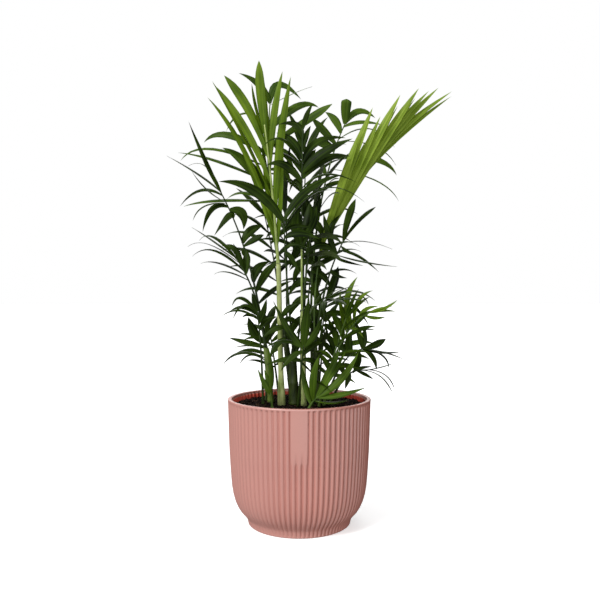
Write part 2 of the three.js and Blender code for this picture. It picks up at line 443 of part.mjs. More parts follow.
/** Fluted outer form, less the hollow and the groove under the foot. */
function potSolid() {
  const outline = [[0, 0], ...POT_WALL, [RIM_RADIUS, POT_HEIGHT - 1.4], [RIM_RADIUS - 0.8, POT_HEIGHT], [0, POT_HEIGHT]];
  const form = turned(outline, FLUTES * 2);
  const position = form.getAttribute('position');
  const point = new THREE.Vector3();
  for (let i = 0; i < position.count; i += 1) {
    point.fromBufferAttribute(position, i);
    const radius = Math.hypot(point.x, point.y);
    const flute = (Math.atan2(point.x, -point.y) / (2 * Math.PI)) * FLUTES; // 0 at the front
    const inGroove = Math.abs(Math.round(flute * 2)) % 2 === 1;
    const onBand = point.z > BAND_END && Math.abs(flute) < BAND_HALF_FLUTES - 0.1;
    const fluted = point.z < POT_HEIGHT - 1.5 && radius > FOOT_RADIUS - 0.1;
    if (inGroove && fluted && !onBand) point.multiply(new THREE.Vector3(1 - FLUTE_DEPTH / radius, 1 - FLUTE_DEPTH / radius, 1));
    position.setXYZ(i, point.x, point.y, point.z);
  }
  const hollow = turned([...POT_HOLLOW, [RIM_RADIUS - WALL + 0.6, POT_HEIGHT + 1], [0, POT_HEIGHT + 1]], ROUND_SIDES);
  const { inner, outer, depth } = FOOT_GROOVE;
  const ring = [[inner, -1], [outer, -1], [outer, 0], [outer - 1, depth], [inner + 1, depth], [inner, 0], [inner, -1]];
  return solidFromGeometry(form)
    .subtract(solidFromGeometry(hollow))
    .subtract(solidFromGeometry(turned(ring, ROUND_SIDES)));
}

/** Potting mix that fills the hollow to just below the rim, clear of the wall. */
function soilSolid() {
  const fill = POT_HOLLOW.slice(1).map(([radius, height]) => [radius - CLEARANCE * 1.5, height]);
  fill[0][1] += CLEARANCE;
  const profile = [[0, FLOOR + CLEARANCE], ...fill, [SOIL_FLAT_RADIUS, SOIL_LEVEL], [0, SOIL_LEVEL]];
  return solidFromGeometry(turned(profile, ROUND_SIDES));
}

// ---------------------------------------------------------------- stems

/** Height at which stems and young fronds start, clear of the soil. */
const GROUND = SOIL_LEVEL + CLEARANCE;

/** One cane: flat foot with a swollen base, true taper, flat top. */
function stemSolid({ foot, top, radius, flare: { share: flareShare, swell } = STEM_FLARE }) {
  const start = vector([...foot, GROUND]);
  const end = vector(top);
  const rings = [0, flareShare / 2, flareShare, 0.5, 1].map((share) => {
    const centre = start.clone().lerp(end, share);
    const flare = lerp(swell, 1, Math.min(1, share / flareShare));
    const size = lerp(radius[0], radius[1], share) * flare;
    return Array.from({ length: STEM_SIDES }, (_, i) => {
      const angle = (i / STEM_SIDES) * 2 * Math.PI;
      return new THREE.Vector3(centre.x + size * Math.cos(angle), centre.y + size * Math.sin(angle), centre.z);
    });
  });
  return solidThroughRings(rings);
}

// ---------------------------------------------------------------- fronds

/** Where a frond's stalk starts: on its cane's flat top, or on the soil. */
function frondFoot({ cane, azimuth, ground }) {
  if (ground) return vector([...ground, GROUND]);
  const stem = STEMS.find(({ name }) => name === cane);
  const offset = stem.radius[1] - RIB_FOOT_RADIUS + 0.4;
  const angle = radians(azimuth);
  return vector(stem.top).add(new THREE.Vector3(offset * Math.cos(angle), offset * Math.sin(angle), CLEARANCE));
}

/** The rib's curve and the direction that its upper side looks to. */
function frondLayout(frond) {
  const curve = new THREE.QuadraticBezierCurve3(frondFoot(frond), vector(frond.knee), vector(frond.tip));
  const [azimuth, elevation] = frond.face.map(radians);
  const face = new THREE.Vector3(
    Math.cos(azimuth) * Math.cos(elevation),
    Math.sin(azimuth) * Math.cos(elevation),
    Math.sin(elevation),
  );
  return { curve, face };
}

/** The stalk and midrib, a tapering three-sided rod with a flat foot. */
function ribSolid({ curve, face }) {
  const rings = [];
  for (let step = 0; step <= RIB_STEPS; step += 1) {
    const share = step / RIB_STEPS;
    const centre = curve.getPoint(share);
    const along = step === 0 ? UP : curve.getTangent(share);
    const upper = squareTo(face, along);
    const across = new THREE.Vector3().crossVectors(along, upper);
    const size = lerp(RIB_FOOT_RADIUS, RIB_TIP_RADIUS, share);
    rings.push(Array.from({ length: RIB_SIDES }, (_, i) => {
      const angle = ((i + 0.5) / RIB_SIDES) * 2 * Math.PI;
      return centre.clone().addScaledVector(upper, size * Math.cos(angle)).addScaledVector(across, size * Math.sin(angle));
    }));
  }
  return solidThroughRings(rings);
}

/** The point on the rib's axis where a leaflet starts. */
function onRib(curve, place) {
  const step = Math.min(place, LAST_ROOT) * RIB_STEPS;
  const below = Math.floor(step);
  return curve.getPoint(below / RIB_STEPS).lerp(curve.getPoint((below + 1) / RIB_STEPS), step - below);
}

/** Half width of a leaflet at a share of its length, as a share of its full width. */
function bladeOutline(share, { widest, rootWidth, point }) {
  if (share < widest) return rootWidth + (1 - rootWidth) * (1 - (1 - share / widest) ** 2);
  return Math.max(0, 1 - ((share - widest) / (1 - widest)) ** point);
}

/** What shapes the outline of a frond's leaflets. */
const outlineOf = ({ widest, rootWidth, point }) => ({ widest, rootWidth, point });

/** A value that runs from the lowest pair by way of the middle to the last one. */
function alongRib([lowest, middle, last], share) {
  const waist = 0.45;
  return share < waist ? lerp(lowest, middle, share / waist) : lerp(middle, last, (share - waist) / (1 - waist));
}

/** Every leaflet of a frond that is drawn: root, middle, tip and sizes. */
function drawnLeaflets(frond, { curve, face }) {
  return frond.drawn.map(([place, ...values]) => ({
    root: onRib(curve, place),
    middle: vector(values.slice(0, 3)),
    tip: vector(values.slice(3, 6)),
    upper: face,
    width: values[6],
    roll: radians(values[7]),
    outline: { ...outlineOf(frond), widest: values[8] ?? frond.widest },
  }));
}

/** Every leaflet that a frond grows by rule: root, directions and sizes. */
function grownLeaflets(frond, { curve, face }) {
  const random = seededRandom(frond.seed);
  const list = [];
  for (let rank = 0; rank < frond.pairs; rank += 1) {
    const share = rank / (frond.pairs - 1);
    const isLast = rank === frond.pairs - 1;
    for (const side of [1, -1]) {
      const [turn, raise, stretch, bend] = [random(), random(), random(), random()];
      const stagger = THREE.MathUtils.clamp(share + (0.2 / frond.pairs) * side, 0, 1);
      const place = frond.bare + (1 - frond.bare) * (isLast ? share : stagger * 0.985);
      const along = curve.getTangent(place);
      const upper = squareTo(face, along);
      const outward = new THREE.Vector3().crossVectors(along, upper).multiplyScalar(side);
      const spread = side > 0 ? frond.right : frond.left ?? frond.right;
      const opening = lerp(spread[0], spread[1], share ** frond.closing);
      list.push({
        root: onRib(curve, place),
        along,
        upper,
        outward,
        opening: opening + turn * frond.jitter,
        lift: radians(frond.lift + raise * frond.ruffle),
        length: frond.blade * alongRib(frond.taper, share) * (1 + 0.08 * stretch),
        width: frond.width * lerp(0.8, 1, Math.min(1, share * 2)) * (isLast ? frond.endWidth : 1),
        droop: frond.droop * (1 + 0.3 * bend) * (isLast ? 0.5 : 1),
        twist: frond.twist,
        outline: outlineOf(frond),
      });
    }
  }
  return list;
}

/** The midrib of a drawn leaflet, its tip swung back or forth by some degrees. */
function drawnMidrib(leaf, turn) {
  const swing = Math.sin(radians(turn)) * leaf.root.distanceTo(leaf.tip);
  const tip = leaf.tip.clone().add(new THREE.Vector3(0, swing, 0));
  const bend = leaf.middle.clone().add(new THREE.Vector3(0, swing / 2, 0)).multiplyScalar(2)
    .addScaledVector(leaf.root, -0.5)
    .addScaledVector(tip, -0.5);
  const curve = new THREE.QuadraticBezierCurve3(leaf.root, bend, tip);
  const level = (share) => new THREE.Vector3().crossVectors(curve.getTangent(share), leaf.upper).normalize();
  const lean = level(0.5).z > 0 ? -1 : 1;
  return {
    length: curve.getLength(),
    at: (share) => curve.getPoint(share),
    heading: (share) => curve.getTangent(share),
    across: (share) => {
      const flat = level(share);
      const normal = new THREE.Vector3().crossVectors(flat, curve.getTangent(share));
      return flat.multiplyScalar(Math.cos(leaf.roll)).addScaledVector(normal, lean * Math.sin(leaf.roll));
    },
  };
}

/** The midrib of a leaflet grown by rule, turned by some degrees about its root. */
function grownMidrib(leaf, turn) {
  const opening = radians(leaf.opening + turn);
  const start = leaf.along.clone().multiplyScalar(Math.cos(opening))
    .addScaledVector(leaf.outward, Math.sin(opening) * Math.cos(leaf.lift))
    .addScaledVector(leaf.upper, Math.sin(opening) * Math.sin(leaf.lift));
  const inPlane = squareTo(leaf.along, start);
  const level = new THREE.Vector3().crossVectors(start, UP).normalize();
  if (level.dot(inPlane) < 0) level.negate();
  const across = inPlane.multiplyScalar(1 - leaf.twist).addScaledVector(level, leaf.twist).normalize();
  const heading = (share) => start.clone().addScaledVector(UP, -leaf.droop * share ** 1.6).normalize();
  const path = [leaf.root];
  for (let step = 0; step < LEAF_STEPS; step += 1) {
    path.push(path[step].clone().addScaledVector(heading(step / LEAF_STEPS), leaf.length / LEAF_STEPS));
  }
  return { length: leaf.length, at: (share) => path[Math.round(share * LEAF_STEPS)], heading, across: () => across };
}

/** One leaflet as a keeled blade, turned by some degrees. */
function leafletSolid(leaf, turn) {
  const midrib = leaf.tip ? drawnMidrib(leaf, turn) : grownMidrib(leaf, turn);
  const stations = leaf.tip ? DRAWN_STATIONS : GROWN_STATIONS;
  const thickness = Math.max(LEAF_MIN_THICKNESS, midrib.length * LEAF_THICKNESS);
  const rings = stations.map((share) => {
    const centre = midrib.at(share);
    const ahead = midrib.heading(share);
    const half = (leaf.width / 2) * bladeOutline(share, leaf.outline);
    const wide = squareTo(midrib.across(share), ahead).multiplyScalar(half);
    const deep = new THREE.Vector3().crossVectors(ahead, wide).normalize();
    if (deep.dot(leaf.upper) > 0) deep.negate();
    return [centre.clone().add(wide), centre.clone().sub(wide), centre.clone().addScaledVector(deep, thickness)];
  });
  return solidThroughRings(rings, leaf.root, midrib.at(1));
}

/** True when a solid keeps the clearance to every other one. */
function isClear(solid, others) {
  const { min, max } = solid.boundingBox();
  return others.every(({ solid: other, box }) => {
    const apart = [0, 1, 2].some((k) => min[k] > box.max[k] + CLEARANCE || max[k] < box.min[k] - CLEARANCE);
    return apart || solid.minGap(other, CLEARANCE * 2) > CLEARANCE;
  });
}

const obstacle = (solid) => ({ solid, box: solid.boundingBox() });

/** Rib and leaflets as one body; a leaflet that can't come clear is left out. */
function frondSolid(frond, layout, rib, others) {
  const pieces = [rib];
  for (const leaf of frond.drawn ? drawnLeaflets(frond, layout) : grownLeaflets(frond, layout)) {
    const blade = TURNS.map((turn) => leafletSolid(leaf, turn)).find((candidate) => isClear(candidate, others));
    if (blade) pieces.push(blade);
  }
  return { solid: mainBody(Manifold.union(pieces)), count: pieces.length - 1 };
}

// ---------------------------------------------------------------- assembly

const group = new THREE.Group();

const fixed = [
  { name: 'pot', solid: potSolid(), finish: 'pot' },
  { name: 'soil', solid: soilSolid(), finish: 'soil' },
  ...STEMS.map((stem) => ({ name: stem.name, solid: stemSolid(stem), finish: stem.tone })),
];
for (const { name, solid, finish } of fixed) group.add(meshOf(name, solid, finish));

const fronds = [...DRAWN_FRONDS, ...GROWN_FRONDS].map((entry) => {
  const frond = { ...FROND, ...entry };
  const layout = frondLayout(frond);
  return { frond, layout, rib: ribSolid(layout) };
});
const standing = fixed.map(({ solid }) => obstacle(solid));
const ribs = fronds.map(({ rib }) => obstacle(rib));
fronds.forEach(({ frond, layout, rib }, i) => {
  const others = [...standing, ...ribs.slice(i + 1)];
  const { solid, count } = frondSolid(frond, layout, rib, others);
  const mesh = meshOf(frond.name, solid, frond.tone);
  mesh.userData.leaflets = count;
  standing.push(obstacle(solid));
  group.add(mesh);
});

export default group;
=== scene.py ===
"""A parlour palm in a fluted pot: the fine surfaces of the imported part, their finishes and a studio."""

import logging
import math
from dataclasses import dataclass, field
from enum import Enum
from itertools import combinations

import bmesh
import bpy
import numpy as np
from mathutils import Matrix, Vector, noise
from mathutils.bvhtree import BVHTree


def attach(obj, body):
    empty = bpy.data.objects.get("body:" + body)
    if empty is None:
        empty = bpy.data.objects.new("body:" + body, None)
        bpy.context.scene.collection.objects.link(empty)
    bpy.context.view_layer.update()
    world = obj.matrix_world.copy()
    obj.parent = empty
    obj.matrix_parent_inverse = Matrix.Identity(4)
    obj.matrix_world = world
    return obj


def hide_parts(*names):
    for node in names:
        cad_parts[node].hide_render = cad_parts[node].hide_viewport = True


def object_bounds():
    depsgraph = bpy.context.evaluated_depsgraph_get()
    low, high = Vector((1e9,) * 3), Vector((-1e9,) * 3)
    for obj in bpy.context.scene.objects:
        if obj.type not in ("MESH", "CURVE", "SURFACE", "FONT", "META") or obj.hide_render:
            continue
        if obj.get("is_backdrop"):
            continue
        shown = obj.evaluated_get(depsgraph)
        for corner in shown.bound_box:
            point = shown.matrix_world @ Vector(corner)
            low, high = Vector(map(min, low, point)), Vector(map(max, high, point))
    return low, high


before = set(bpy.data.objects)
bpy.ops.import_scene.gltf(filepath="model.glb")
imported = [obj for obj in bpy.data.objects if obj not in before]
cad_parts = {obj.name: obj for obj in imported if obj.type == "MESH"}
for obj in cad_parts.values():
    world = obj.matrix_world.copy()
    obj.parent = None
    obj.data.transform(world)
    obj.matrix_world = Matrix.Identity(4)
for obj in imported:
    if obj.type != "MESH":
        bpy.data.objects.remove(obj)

Socket = bpy.types.NodeSocket
Material = bpy.types.Material
Piece = bpy.types.Object
Pair = tuple[float, float]
Triple = tuple[float, float, float]
Profile = tuple[Pair, ...]
Screen = tuple[int, int, int]
Faces = list[list[int]]

log = logging.getLogger("palm")

MM = 0.001
UP = Vector((0.0, 0.0, 1.0))
WHITE = (1.0, 1.0, 1.0)

# The standard curve from screen values to light: straight up to its start, then a power.
SCREEN_WHITE = 255
CURVE_START = 10
CURVE_SLOPE = 12.92
CURVE_OFFSET = 0.055
CURVE_POWER = 2.4

# The pot, in millimetres.
FLUTES = 80
COLUMNS_PER_FLUTE = 10
SOIL_LEVEL = 115.6
GROUND = SOIL_LEVEL + 0.3
# Radius of the small disc that each turned piece is extruded from.
SEED_RADIUS = 2.0


# ---------------------------------------------------------------- materials


class Shader:
    """A node material under construction, with short calls for the nodes that the finishes share."""

    # Sockets of a Mix node that mixes colours.
    MIX_SHARE, MIX_FIRST, MIX_SECOND, MIX_RESULT = 0, 6, 7, 2

    def __init__(self, name: str) -> None:
        """Starts an empty material with one Principled surface.

        Args:
            name: the material's name.
        """
        self.material = bpy.data.materials.new(name)
        self.material.use_nodes = True
        self.tree = self.material.node_tree
        self.surface = self.tree.nodes["Principled BSDF"]

    def node(self, kind: str, **settings: object) -> bpy.types.Node:
        """Adds a node.

        Args:
            kind: the node's type name without its ShaderNode prefix.
            settings: node properties by name, or input values by input name.

        Returns:
            The new node.
        """
        made = self.tree.nodes.new("ShaderNode" + kind)
        for key, value in settings.items():
            if hasattr(made, key):
                setattr(made, key, value)
            else:
                made.inputs[key].default_value = value
        return made

    def join(self, source: Socket, target: Socket) -> None:
        """Links two sockets."""
        self.tree.links.new(source, target)

    def place(self, output: str, scale: Triple = (1.0, 1.0, 1.0)) -> Socket:
        """Adds texture coordinates through a scaling Mapping node.

        Args:
            output: Object or UV.
            scale: the scale along each axis.

        Returns:
            The mapped vector.
        """
        source = self.node("TexCoord")
        mapping = self.node("Mapping", Scale=scale)
        self.join(source.outputs[output], mapping.inputs["Vector"])
        return mapping.outputs["Vector"]

    def noise(self, vector: Socket, scale: float, detail: float) -> Socket:
        """Adds a noise pattern.

        Args:
            vector: where the pattern is read.
            scale: the pattern's scale.
            detail: how many finer octaves it has.

        Returns:
            The noise value.
        """
        made = self.node("TexNoise", Scale=scale, Detail=detail)
        self.join(vector, made.inputs["Vector"])
        return made.outputs["Fac"]

    def ramp(self, value: Socket, low: tuple[float, Triple], high: tuple[float, Triple]) -> Socket:
        """Adds a colour ramp of two stops.

        Args:
            value: the number that picks the colour.
            low: position and linear colour of the lower stop.
            high: position and linear colour of the upper stop.

        Returns:
            The colour.
        """
        made = self.node("ValToRGB")
        for element, (position, colour) in zip(made.color_ramp.elements, (low, high)):
            element.position = position
            element.color = (*colour, 1.0)
        self.join(value, made.inputs["Fac"])
        return made.outputs["Color"]

    def mix(self, share: float, first: Socket, second: Socket, blend: str = "MIX") -> Socket:
        """Adds a colour mix.

        Args:
            share: how much of the second comes in.
            first: the first colour.
            second: the second colour.
            blend: the blend type.

        Returns:
            The mixed colour.
        """
        made = self.node("Mix", data_type="RGBA", blend_type=blend)
        made.inputs[self.MIX_SHARE].default_value = share
        self.join(first, made.inputs[self.MIX_FIRST])
        self.join(second, made.inputs[self.MIX_SECOND])
        return made.outputs[self.MIX_RESULT]

    def paint(self, tone: Socket, shade: Socket, share: float) -> None:
        """Gives the surface a tone, multiplied by a share of a shade."""
        self.join(self.mix(share, tone, shade, "MULTIPLY"), self.surface.inputs["Base Color"])

    def relief(self, height: Socket, strength: float, depth: float) -> None:
        """Gives the surface a bump.

        Args:
            height: the height pattern.
            strength: how strongly it shows.
            depth: its depth in metres.
        """
        bump = self.node("Bump", Strength=strength, Distance=depth)
        self.join(height, bump.inputs["Height"])
        self.join(bump.outputs["Normal"], self.surface.inputs["Normal"])

    def finish(self, roughness: float, specular: float, **others: float) -> Material:
        """Sets the plain numbers of the surface.

        Args:
            roughness: the surface's roughness.
            specular: its specular level.
            others: further inputs by name, with spaces as underscores.

        Returns:
            The finished material.
        """
        self.surface.inputs["Roughness"].default_value = roughness
        self.surface.inputs["Specular IOR Level"].default_value = specular
        for key, value in others.items():
            self.surface.inputs[key.replace("_", " ")].default_value = value
        return self.material


def linear(screen: Screen) -> Triple:
    """Turns a screen colour, 0 to 255, into a linear one by the standard curve.

    Args:
        screen: red, green and blue.

    Returns:
        The linear colour.
    """
    return tuple(
        value / SCREEN_WHITE / CURVE_SLOPE if value <= CURVE_START
        else ((value / SCREEN_WHITE + CURVE_OFFSET) / (1 + CURVE_OFFSET)) ** CURVE_POWER
        for value in screen)


@dataclass(frozen=True)
class LeafFinish:
    """Skin of a leaflet: long fine veins, soft patches of tone, and a satin face."""

    name: str
    deep: Screen
    bright: Screen
    roughness: float
    specular: float
    streak: Triple = (0.68, 0.73, 0.58)

    VEIN_SCALE = (8.0, 0.2, 1.0)
    VEIN_STRENGTH = 0.3
    VEIN_DEPTH = 0.00012
    PLEAT_SCALE = (4.5, 0.12, 1.0)
    PATCH_SCALE = 38.0
    PLEAT_SHARE = 0.5
    TONE_SPAN = (0.38, 0.62)
    STREAK_SPAN = (0.3, 0.6)
    STREAK_SHARE = 0.8

    def material(self) -> Material:
        """Builds the material from the leaflet's own UV map, where U runs across and V along.

        Returns:
            The finished material.
        """
        shader = Shader(self.name)
        veins = shader.noise(shader.place("UV", self.VEIN_SCALE), 1.0, 2.0)
        pleats = shader.noise(shader.place("UV", self.PLEAT_SCALE), 1.0, 1.0)
        patches = shader.noise(shader.place("Object"), self.PATCH_SCALE, 2.0)
        low, high = self.TONE_SPAN
        blend = shader.mix(self.PLEAT_SHARE, patches, pleats)
        tone = shader.ramp(blend, (low, linear(self.deep)), (high, linear(self.bright)))
        low, high = self.STREAK_SPAN
        streak = shader.ramp(veins, (low, self.streak), (high, WHITE))
        shader.paint(tone, streak, self.STREAK_SHARE)
        shader.relief(veins, self.VEIN_STRENGTH, self.VEIN_DEPTH)
        return shader.finish(self.roughness, self.specular)


@dataclass(frozen=True)
class StalkFinish:
    """Skin of a cane, stalk or rib: long streaks, and a mottle of two greens."""

    name: str
    deep: Screen
    bright: Screen
    roughness: float = 0.45
    mottle: float = 220.0

    STREAK = (0.72, 0.74, 0.66)
    STREAK_STRETCH = (1.0, 1.0, 0.06)
    STREAK_SCALE = 900.0
    STREAK_SPAN = (0.35, 0.6)
    STREAK_SHARE = 0.8
    STREAK_STRENGTH = 0.35
    STREAK_DEPTH = 0.0002
    SPOT_STRETCH = (1.0, 1.0, 0.4)
    TONE_SPAN = (0.35, 0.62)
    SPECULAR = 0.22

    def material(self) -> Material:
        """Builds the material from Object coordinates, drawn out along the height.

        Returns:
            The finished material.
        """
        shader = Shader(self.name)
        streaks = shader.noise(shader.place("Object", self.STREAK_STRETCH), self.STREAK_SCALE, 3.0)
        spots = shader.noise(shader.place("Object", self.SPOT_STRETCH), self.mottle, 4.0)
        low, high = self.TONE_SPAN
        tone = shader.ramp(spots, (low, linear(self.deep)), (high, linear(self.bright)))
        low, high = self.STREAK_SPAN
        streak = shader.ramp(streaks, (low, self.STREAK), (high, WHITE))
        shader.paint(tone, streak, self.STREAK_SHARE)
        shader.relief(streaks, self.STREAK_STRENGTH, self.STREAK_DEPTH)
        return shader.finish(self.roughness, self.SPECULAR)


@dataclass(frozen=True)
class PotFinish:
    """Matt moulded plastic with a faint grain and slow drifts of tone."""

    name: str
    colour: Screen
    specular: float = 0.95
    ior: float = 1.9

    DRIFT_SCALE = 9.0
    DRIFT_SHADE = 0.9
    DRIFT_SPAN = (0.3, 0.7)
    GRAIN_SCALE = 1500.0
    GRAIN_SHADE = (0.9, 0.88, 0.87)
    GRAIN_SPAN = (0.3, 0.6)
    GRAIN_SHARE = 0.6
    GRAIN_STRENGTH = 0.18
    GRAIN_DEPTH = 0.00015
    ROUGHNESS = 0.5

    def material(self) -> Material:
        """Builds the material from Object coordinates.

        Returns:
            The finished material.
        """
        shader = Shader(self.name)
        vector = shader.place("Object")
        drift = shader.noise(vector, self.DRIFT_SCALE, 2.0)
        grain = shader.noise(vector, self.GRAIN_SCALE, 3.0)
        base = linear(self.colour)
        darker = tuple(channel * self.DRIFT_SHADE for channel in base)
        low, high = self.DRIFT_SPAN
        tone = shader.ramp(drift, (low, darker), (high, base))
        low, high = self.GRAIN_SPAN
        speck = shader.ramp(grain, (low, self.GRAIN_SHADE), (high, WHITE))
        shader.paint(tone, speck, self.GRAIN_SHARE)
        shader.relief(grain, self.GRAIN_STRENGTH, self.GRAIN_DEPTH)
        return shader.finish(self.ROUGHNESS, self.specular, IOR=self.ior)


@dataclass(frozen=True)
class SoilFinish:
    """Crumbly potting mix, from near black to brown."""

    name: str
    deep: Screen
    bright: Screen

    CRUMB_SCALE = 620.0
    CRUMB_DETAIL = 5.0
    CRUMB_STRENGTH = 0.9
    CRUMB_DEPTH = 0.0008
    TONE_SPAN = (0.38, 0.66)
    ROUGHNESS = 0.95
    SPECULAR = 0.04

    def material(self) -> Material:
        """Builds the material from Object coordinates.

        Returns:
            The finished material.
        """
        shader = Shader(self.name)
        crumbs = shader.noise(shader.place("Object"), self.CRUMB_SCALE, self.CRUMB_DETAIL)
        low, high = self.TONE_SPAN
        tone = shader.ramp(crumbs, (low, linear(self.deep)), (high, linear(self.bright)))
        shader.join(tone, shader.surface.inputs["Base Color"])
        shader.relief(crumbs, self.CRUMB_STRENGTH, self.CRUMB_DEPTH)
        return shader.finish(self.ROUGHNESS, self.SPECULAR)


@dataclass(frozen=True)
class PlainFinish:
    """One even grey with a white glow of its own, for the studio's floor."""

    name: str
    grey: float
    glow: float

    ROUGHNESS = 0.9

    def material(self) -> Material:
        """Builds the material.

        Returns:
            The finished material.
        """
        shader = Shader(self.name)
        shader.surface.inputs["Base Color"].default_value = (self.grey, self.grey, self.grey, 1.0)
        shader.surface.inputs["Emission Color"].default_value = (*WHITE, 1.0)
        return shader.finish(self.ROUGHNESS, 0.0, Emission_Strength=self.glow)


Finish = LeafFinish | StalkFinish | PotFinish | SoilFinish | PlainFinish


class Tone(Enum):
    """The greens that are dealt out frond by frond: upper skin, underside and stalk, one of them with
    painted light.
    """

    # A brighter copy of the light green with paler streaks: painted light, standing for light that the fan's
    # leaflets don't get.
    FRESH = "fresh"
    LIGHT = "light"
    MID = "mid"
    DARK = "dark"


class Bark(Enum):
    """What a cane is covered with."""

    CANE = "cane"
    SHEATH = "sheath"
    STALK = "stalk"


# The first upper and under skins are the light ones made brighter: painted light.
UPPER_SKIN = {
    Tone.FRESH: LeafFinish("leaf_painted_lit_upper", (98, 122, 26), (140, 162, 56), 0.45, 0.12, (0.8, 0.84, 0.7)),
    Tone.LIGHT: LeafFinish("leaf_light_upper", (66, 91, 10), (104, 129, 26), 0.45, 0.1),
    Tone.MID: LeafFinish("leaf_mid_upper", (42, 65, 11), (80, 105, 27), 0.42, 0.07),
    Tone.DARK: LeafFinish("leaf_dark_upper", (12, 24, 2), (51, 71, 15), 0.42, 0.05),
}
UNDER_SKIN = {
    Tone.FRESH: LeafFinish("leaf_painted_lit_under", (116, 140, 60), (160, 178, 100), 0.55, 0.1),
    Tone.LIGHT: LeafFinish("leaf_light_under", (106, 130, 56), (150, 170, 96), 0.55, 0.1),
    Tone.MID: LeafFinish("leaf_mid_under", (52, 72, 28), (84, 104, 48), 0.55, 0.08),
    Tone.DARK: LeafFinish("leaf_dark_under", (34, 45, 18), (58, 70, 34), 0.55, 0.08),
}
STALK_SKIN = {
    Tone.FRESH: StalkFinish("stalk_fresh", (122, 142, 70), (168, 182, 112)),
    Tone.LIGHT: StalkFinish("stalk_light", (122, 142, 70), (168, 182, 112)),
    Tone.MID: StalkFinish("stalk_mid", (52, 76, 26), (86, 110, 46)),
    Tone.DARK: StalkFinish("stalk_dark", (26, 40, 10), (46, 64, 20)),
}
BARK_SKIN = {
    Bark.CANE: StalkFinish("bark_pale_cane", (118, 134, 70), (172, 181, 120), 0.4, 160.0),
    Bark.SHEATH: StalkFinish("bark_sheath", (26, 38, 8), (56, 70, 22), 0.5, 160.0),
    Bark.STALK: StalkFinish("bark_green", (62, 82, 28), (104, 122, 54), 0.45, 160.0),
}
POT_OUTSIDE = PotFinish("pot_matt_pink", (184, 112, 97))
# The pot's own plastic inside the hollow, made deeper and redder than outside: painted shade.
POT_INSIDE_PAINTED_SHADE = PotFinish("pot_inside_red_painted_shade", (200, 80, 62), 0.3, 1.45)
MIX_BODY = SoilFinish("mix_black", (5, 3, 2), (17, 11, 8))
MIX_CRUMBS = (
    SoilFinish("crumb_black", (5, 3, 3), (16, 11, 9)),
    SoilFinish("crumb_brown", (13, 9, 7), (44, 33, 26)),
    SoilFinish("crumb_umber", (8, 5, 4), (24, 17, 13)),
)
MIX_FIBRES = SoilFinish("fibre_brown", (56, 40, 29), (98, 75, 56))
SLOT_OF_TONE = {
    Tone.FRESH: "leaf_young", Tone.LIGHT: "leaf_young", Tone.MID: "leaf_mid", Tone.DARK: "leaf_dark",
}
SLOT_OF_BARK = {Bark.CANE: "cane_pale", Bark.SHEATH: "cane_sheathed", Bark.STALK: "cane_green"}


class Wardrobe:
    """Materials made once from their finishes and handed out by name."""

    def __init__(self) -> None:
        """Starts with no materials."""
        self.made: dict[str, Material] = {}

    def of(self, finish: Finish) -> Material:
        """Gives a finish's material, and builds it the first time.

        Args:
            finish: the finish.

        Returns:
            Its material.
        """
        if finish.name not in self.made:
            self.made[finish.name] = finish.material()
        return self.made[finish.name]


# ---------------------------------------------------------------- modelling


class Modeller:
    """Edit-mode work on one object, kept to a few calls: rings extruded, resized and closed."""

    def __init__(self, name: str, columns: int, radius: float, centre: Vector) -> None:
        """Adds a filled circle and opens it in edit mode.

        Args:
            name: the piece's name.
            columns: vertices round the circle.
            radius: its radius in metres.
            centre: its centre in metres.
        """
        bpy.ops.object.select_all(action="DESELECT")
        bpy.ops.mesh.primitive_circle_add(vertices=columns, radius=radius, fill_type="NGON", location=centre)
        self.object = bpy.context.object
        self.object.name = self.object.data.name = name
        bpy.ops.object.transform_apply(location=True, rotation=True, scale=True)
        self.centre = centre.copy()
        self.radius = radius
        bpy.ops.object.mode_set(mode="EDIT")
        bpy.ops.mesh.select_all(action="SELECT")

    def step(self, centre: Vector, radius: float) -> None:
        """Extrudes the selected end to a new centre and radius.

        Args:
            centre: the new ring's centre.
            radius: the new ring's radius.
        """
        move = centre - self.centre
        bpy.ops.mesh.extrude_region_move(TRANSFORM_OT_translate={"value": move})
        ratio = radius / self.radius
        bpy.ops.transform.resize(value=(ratio, ratio, 1.0), center_override=centre)
        self.centre = centre.copy()
        self.radius = radius

    def push(self, chosen: np.ndarray, ratio: float) -> None:
        """Moves chosen vertices towards the upright axis.

        Args:
            chosen: a mask over the vertices.
            ratio: the factor on their distance from the axis.
        """
        mesh = bmesh.from_edit_mesh(self.object.data)
        bpy.ops.mesh.select_all(action="DESELECT")
        mesh.verts.ensure_lookup_table()
        for index in np.flatnonzero(chosen):
            mesh.verts[index].select = True
        mesh.select_flush(True)
        bmesh.update_edit_mesh(self.object.data)
        bpy.ops.transform.resize(value=(ratio, ratio, 1.0), center_override=(0.0, 0.0, 0.0))

    def vertices(self) -> np.ndarray:
        """Gives the vertices' places as they are now, one row each."""
        mesh = bmesh.from_edit_mesh(self.object.data)
        return np.array([vertex.co[:] for vertex in mesh.verts])

    def close(self) -> Piece:
        """Turns the faces outwards, leaves edit mode and shades the piece smooth.

        Returns:
            The finished object.
        """
        bpy.ops.mesh.select_all(action="SELECT")
        bpy.ops.mesh.normals_make_consistent(inside=False)
        bpy.ops.object.mode_set(mode="OBJECT")
        bpy.ops.object.shade_smooth()
        return self.object


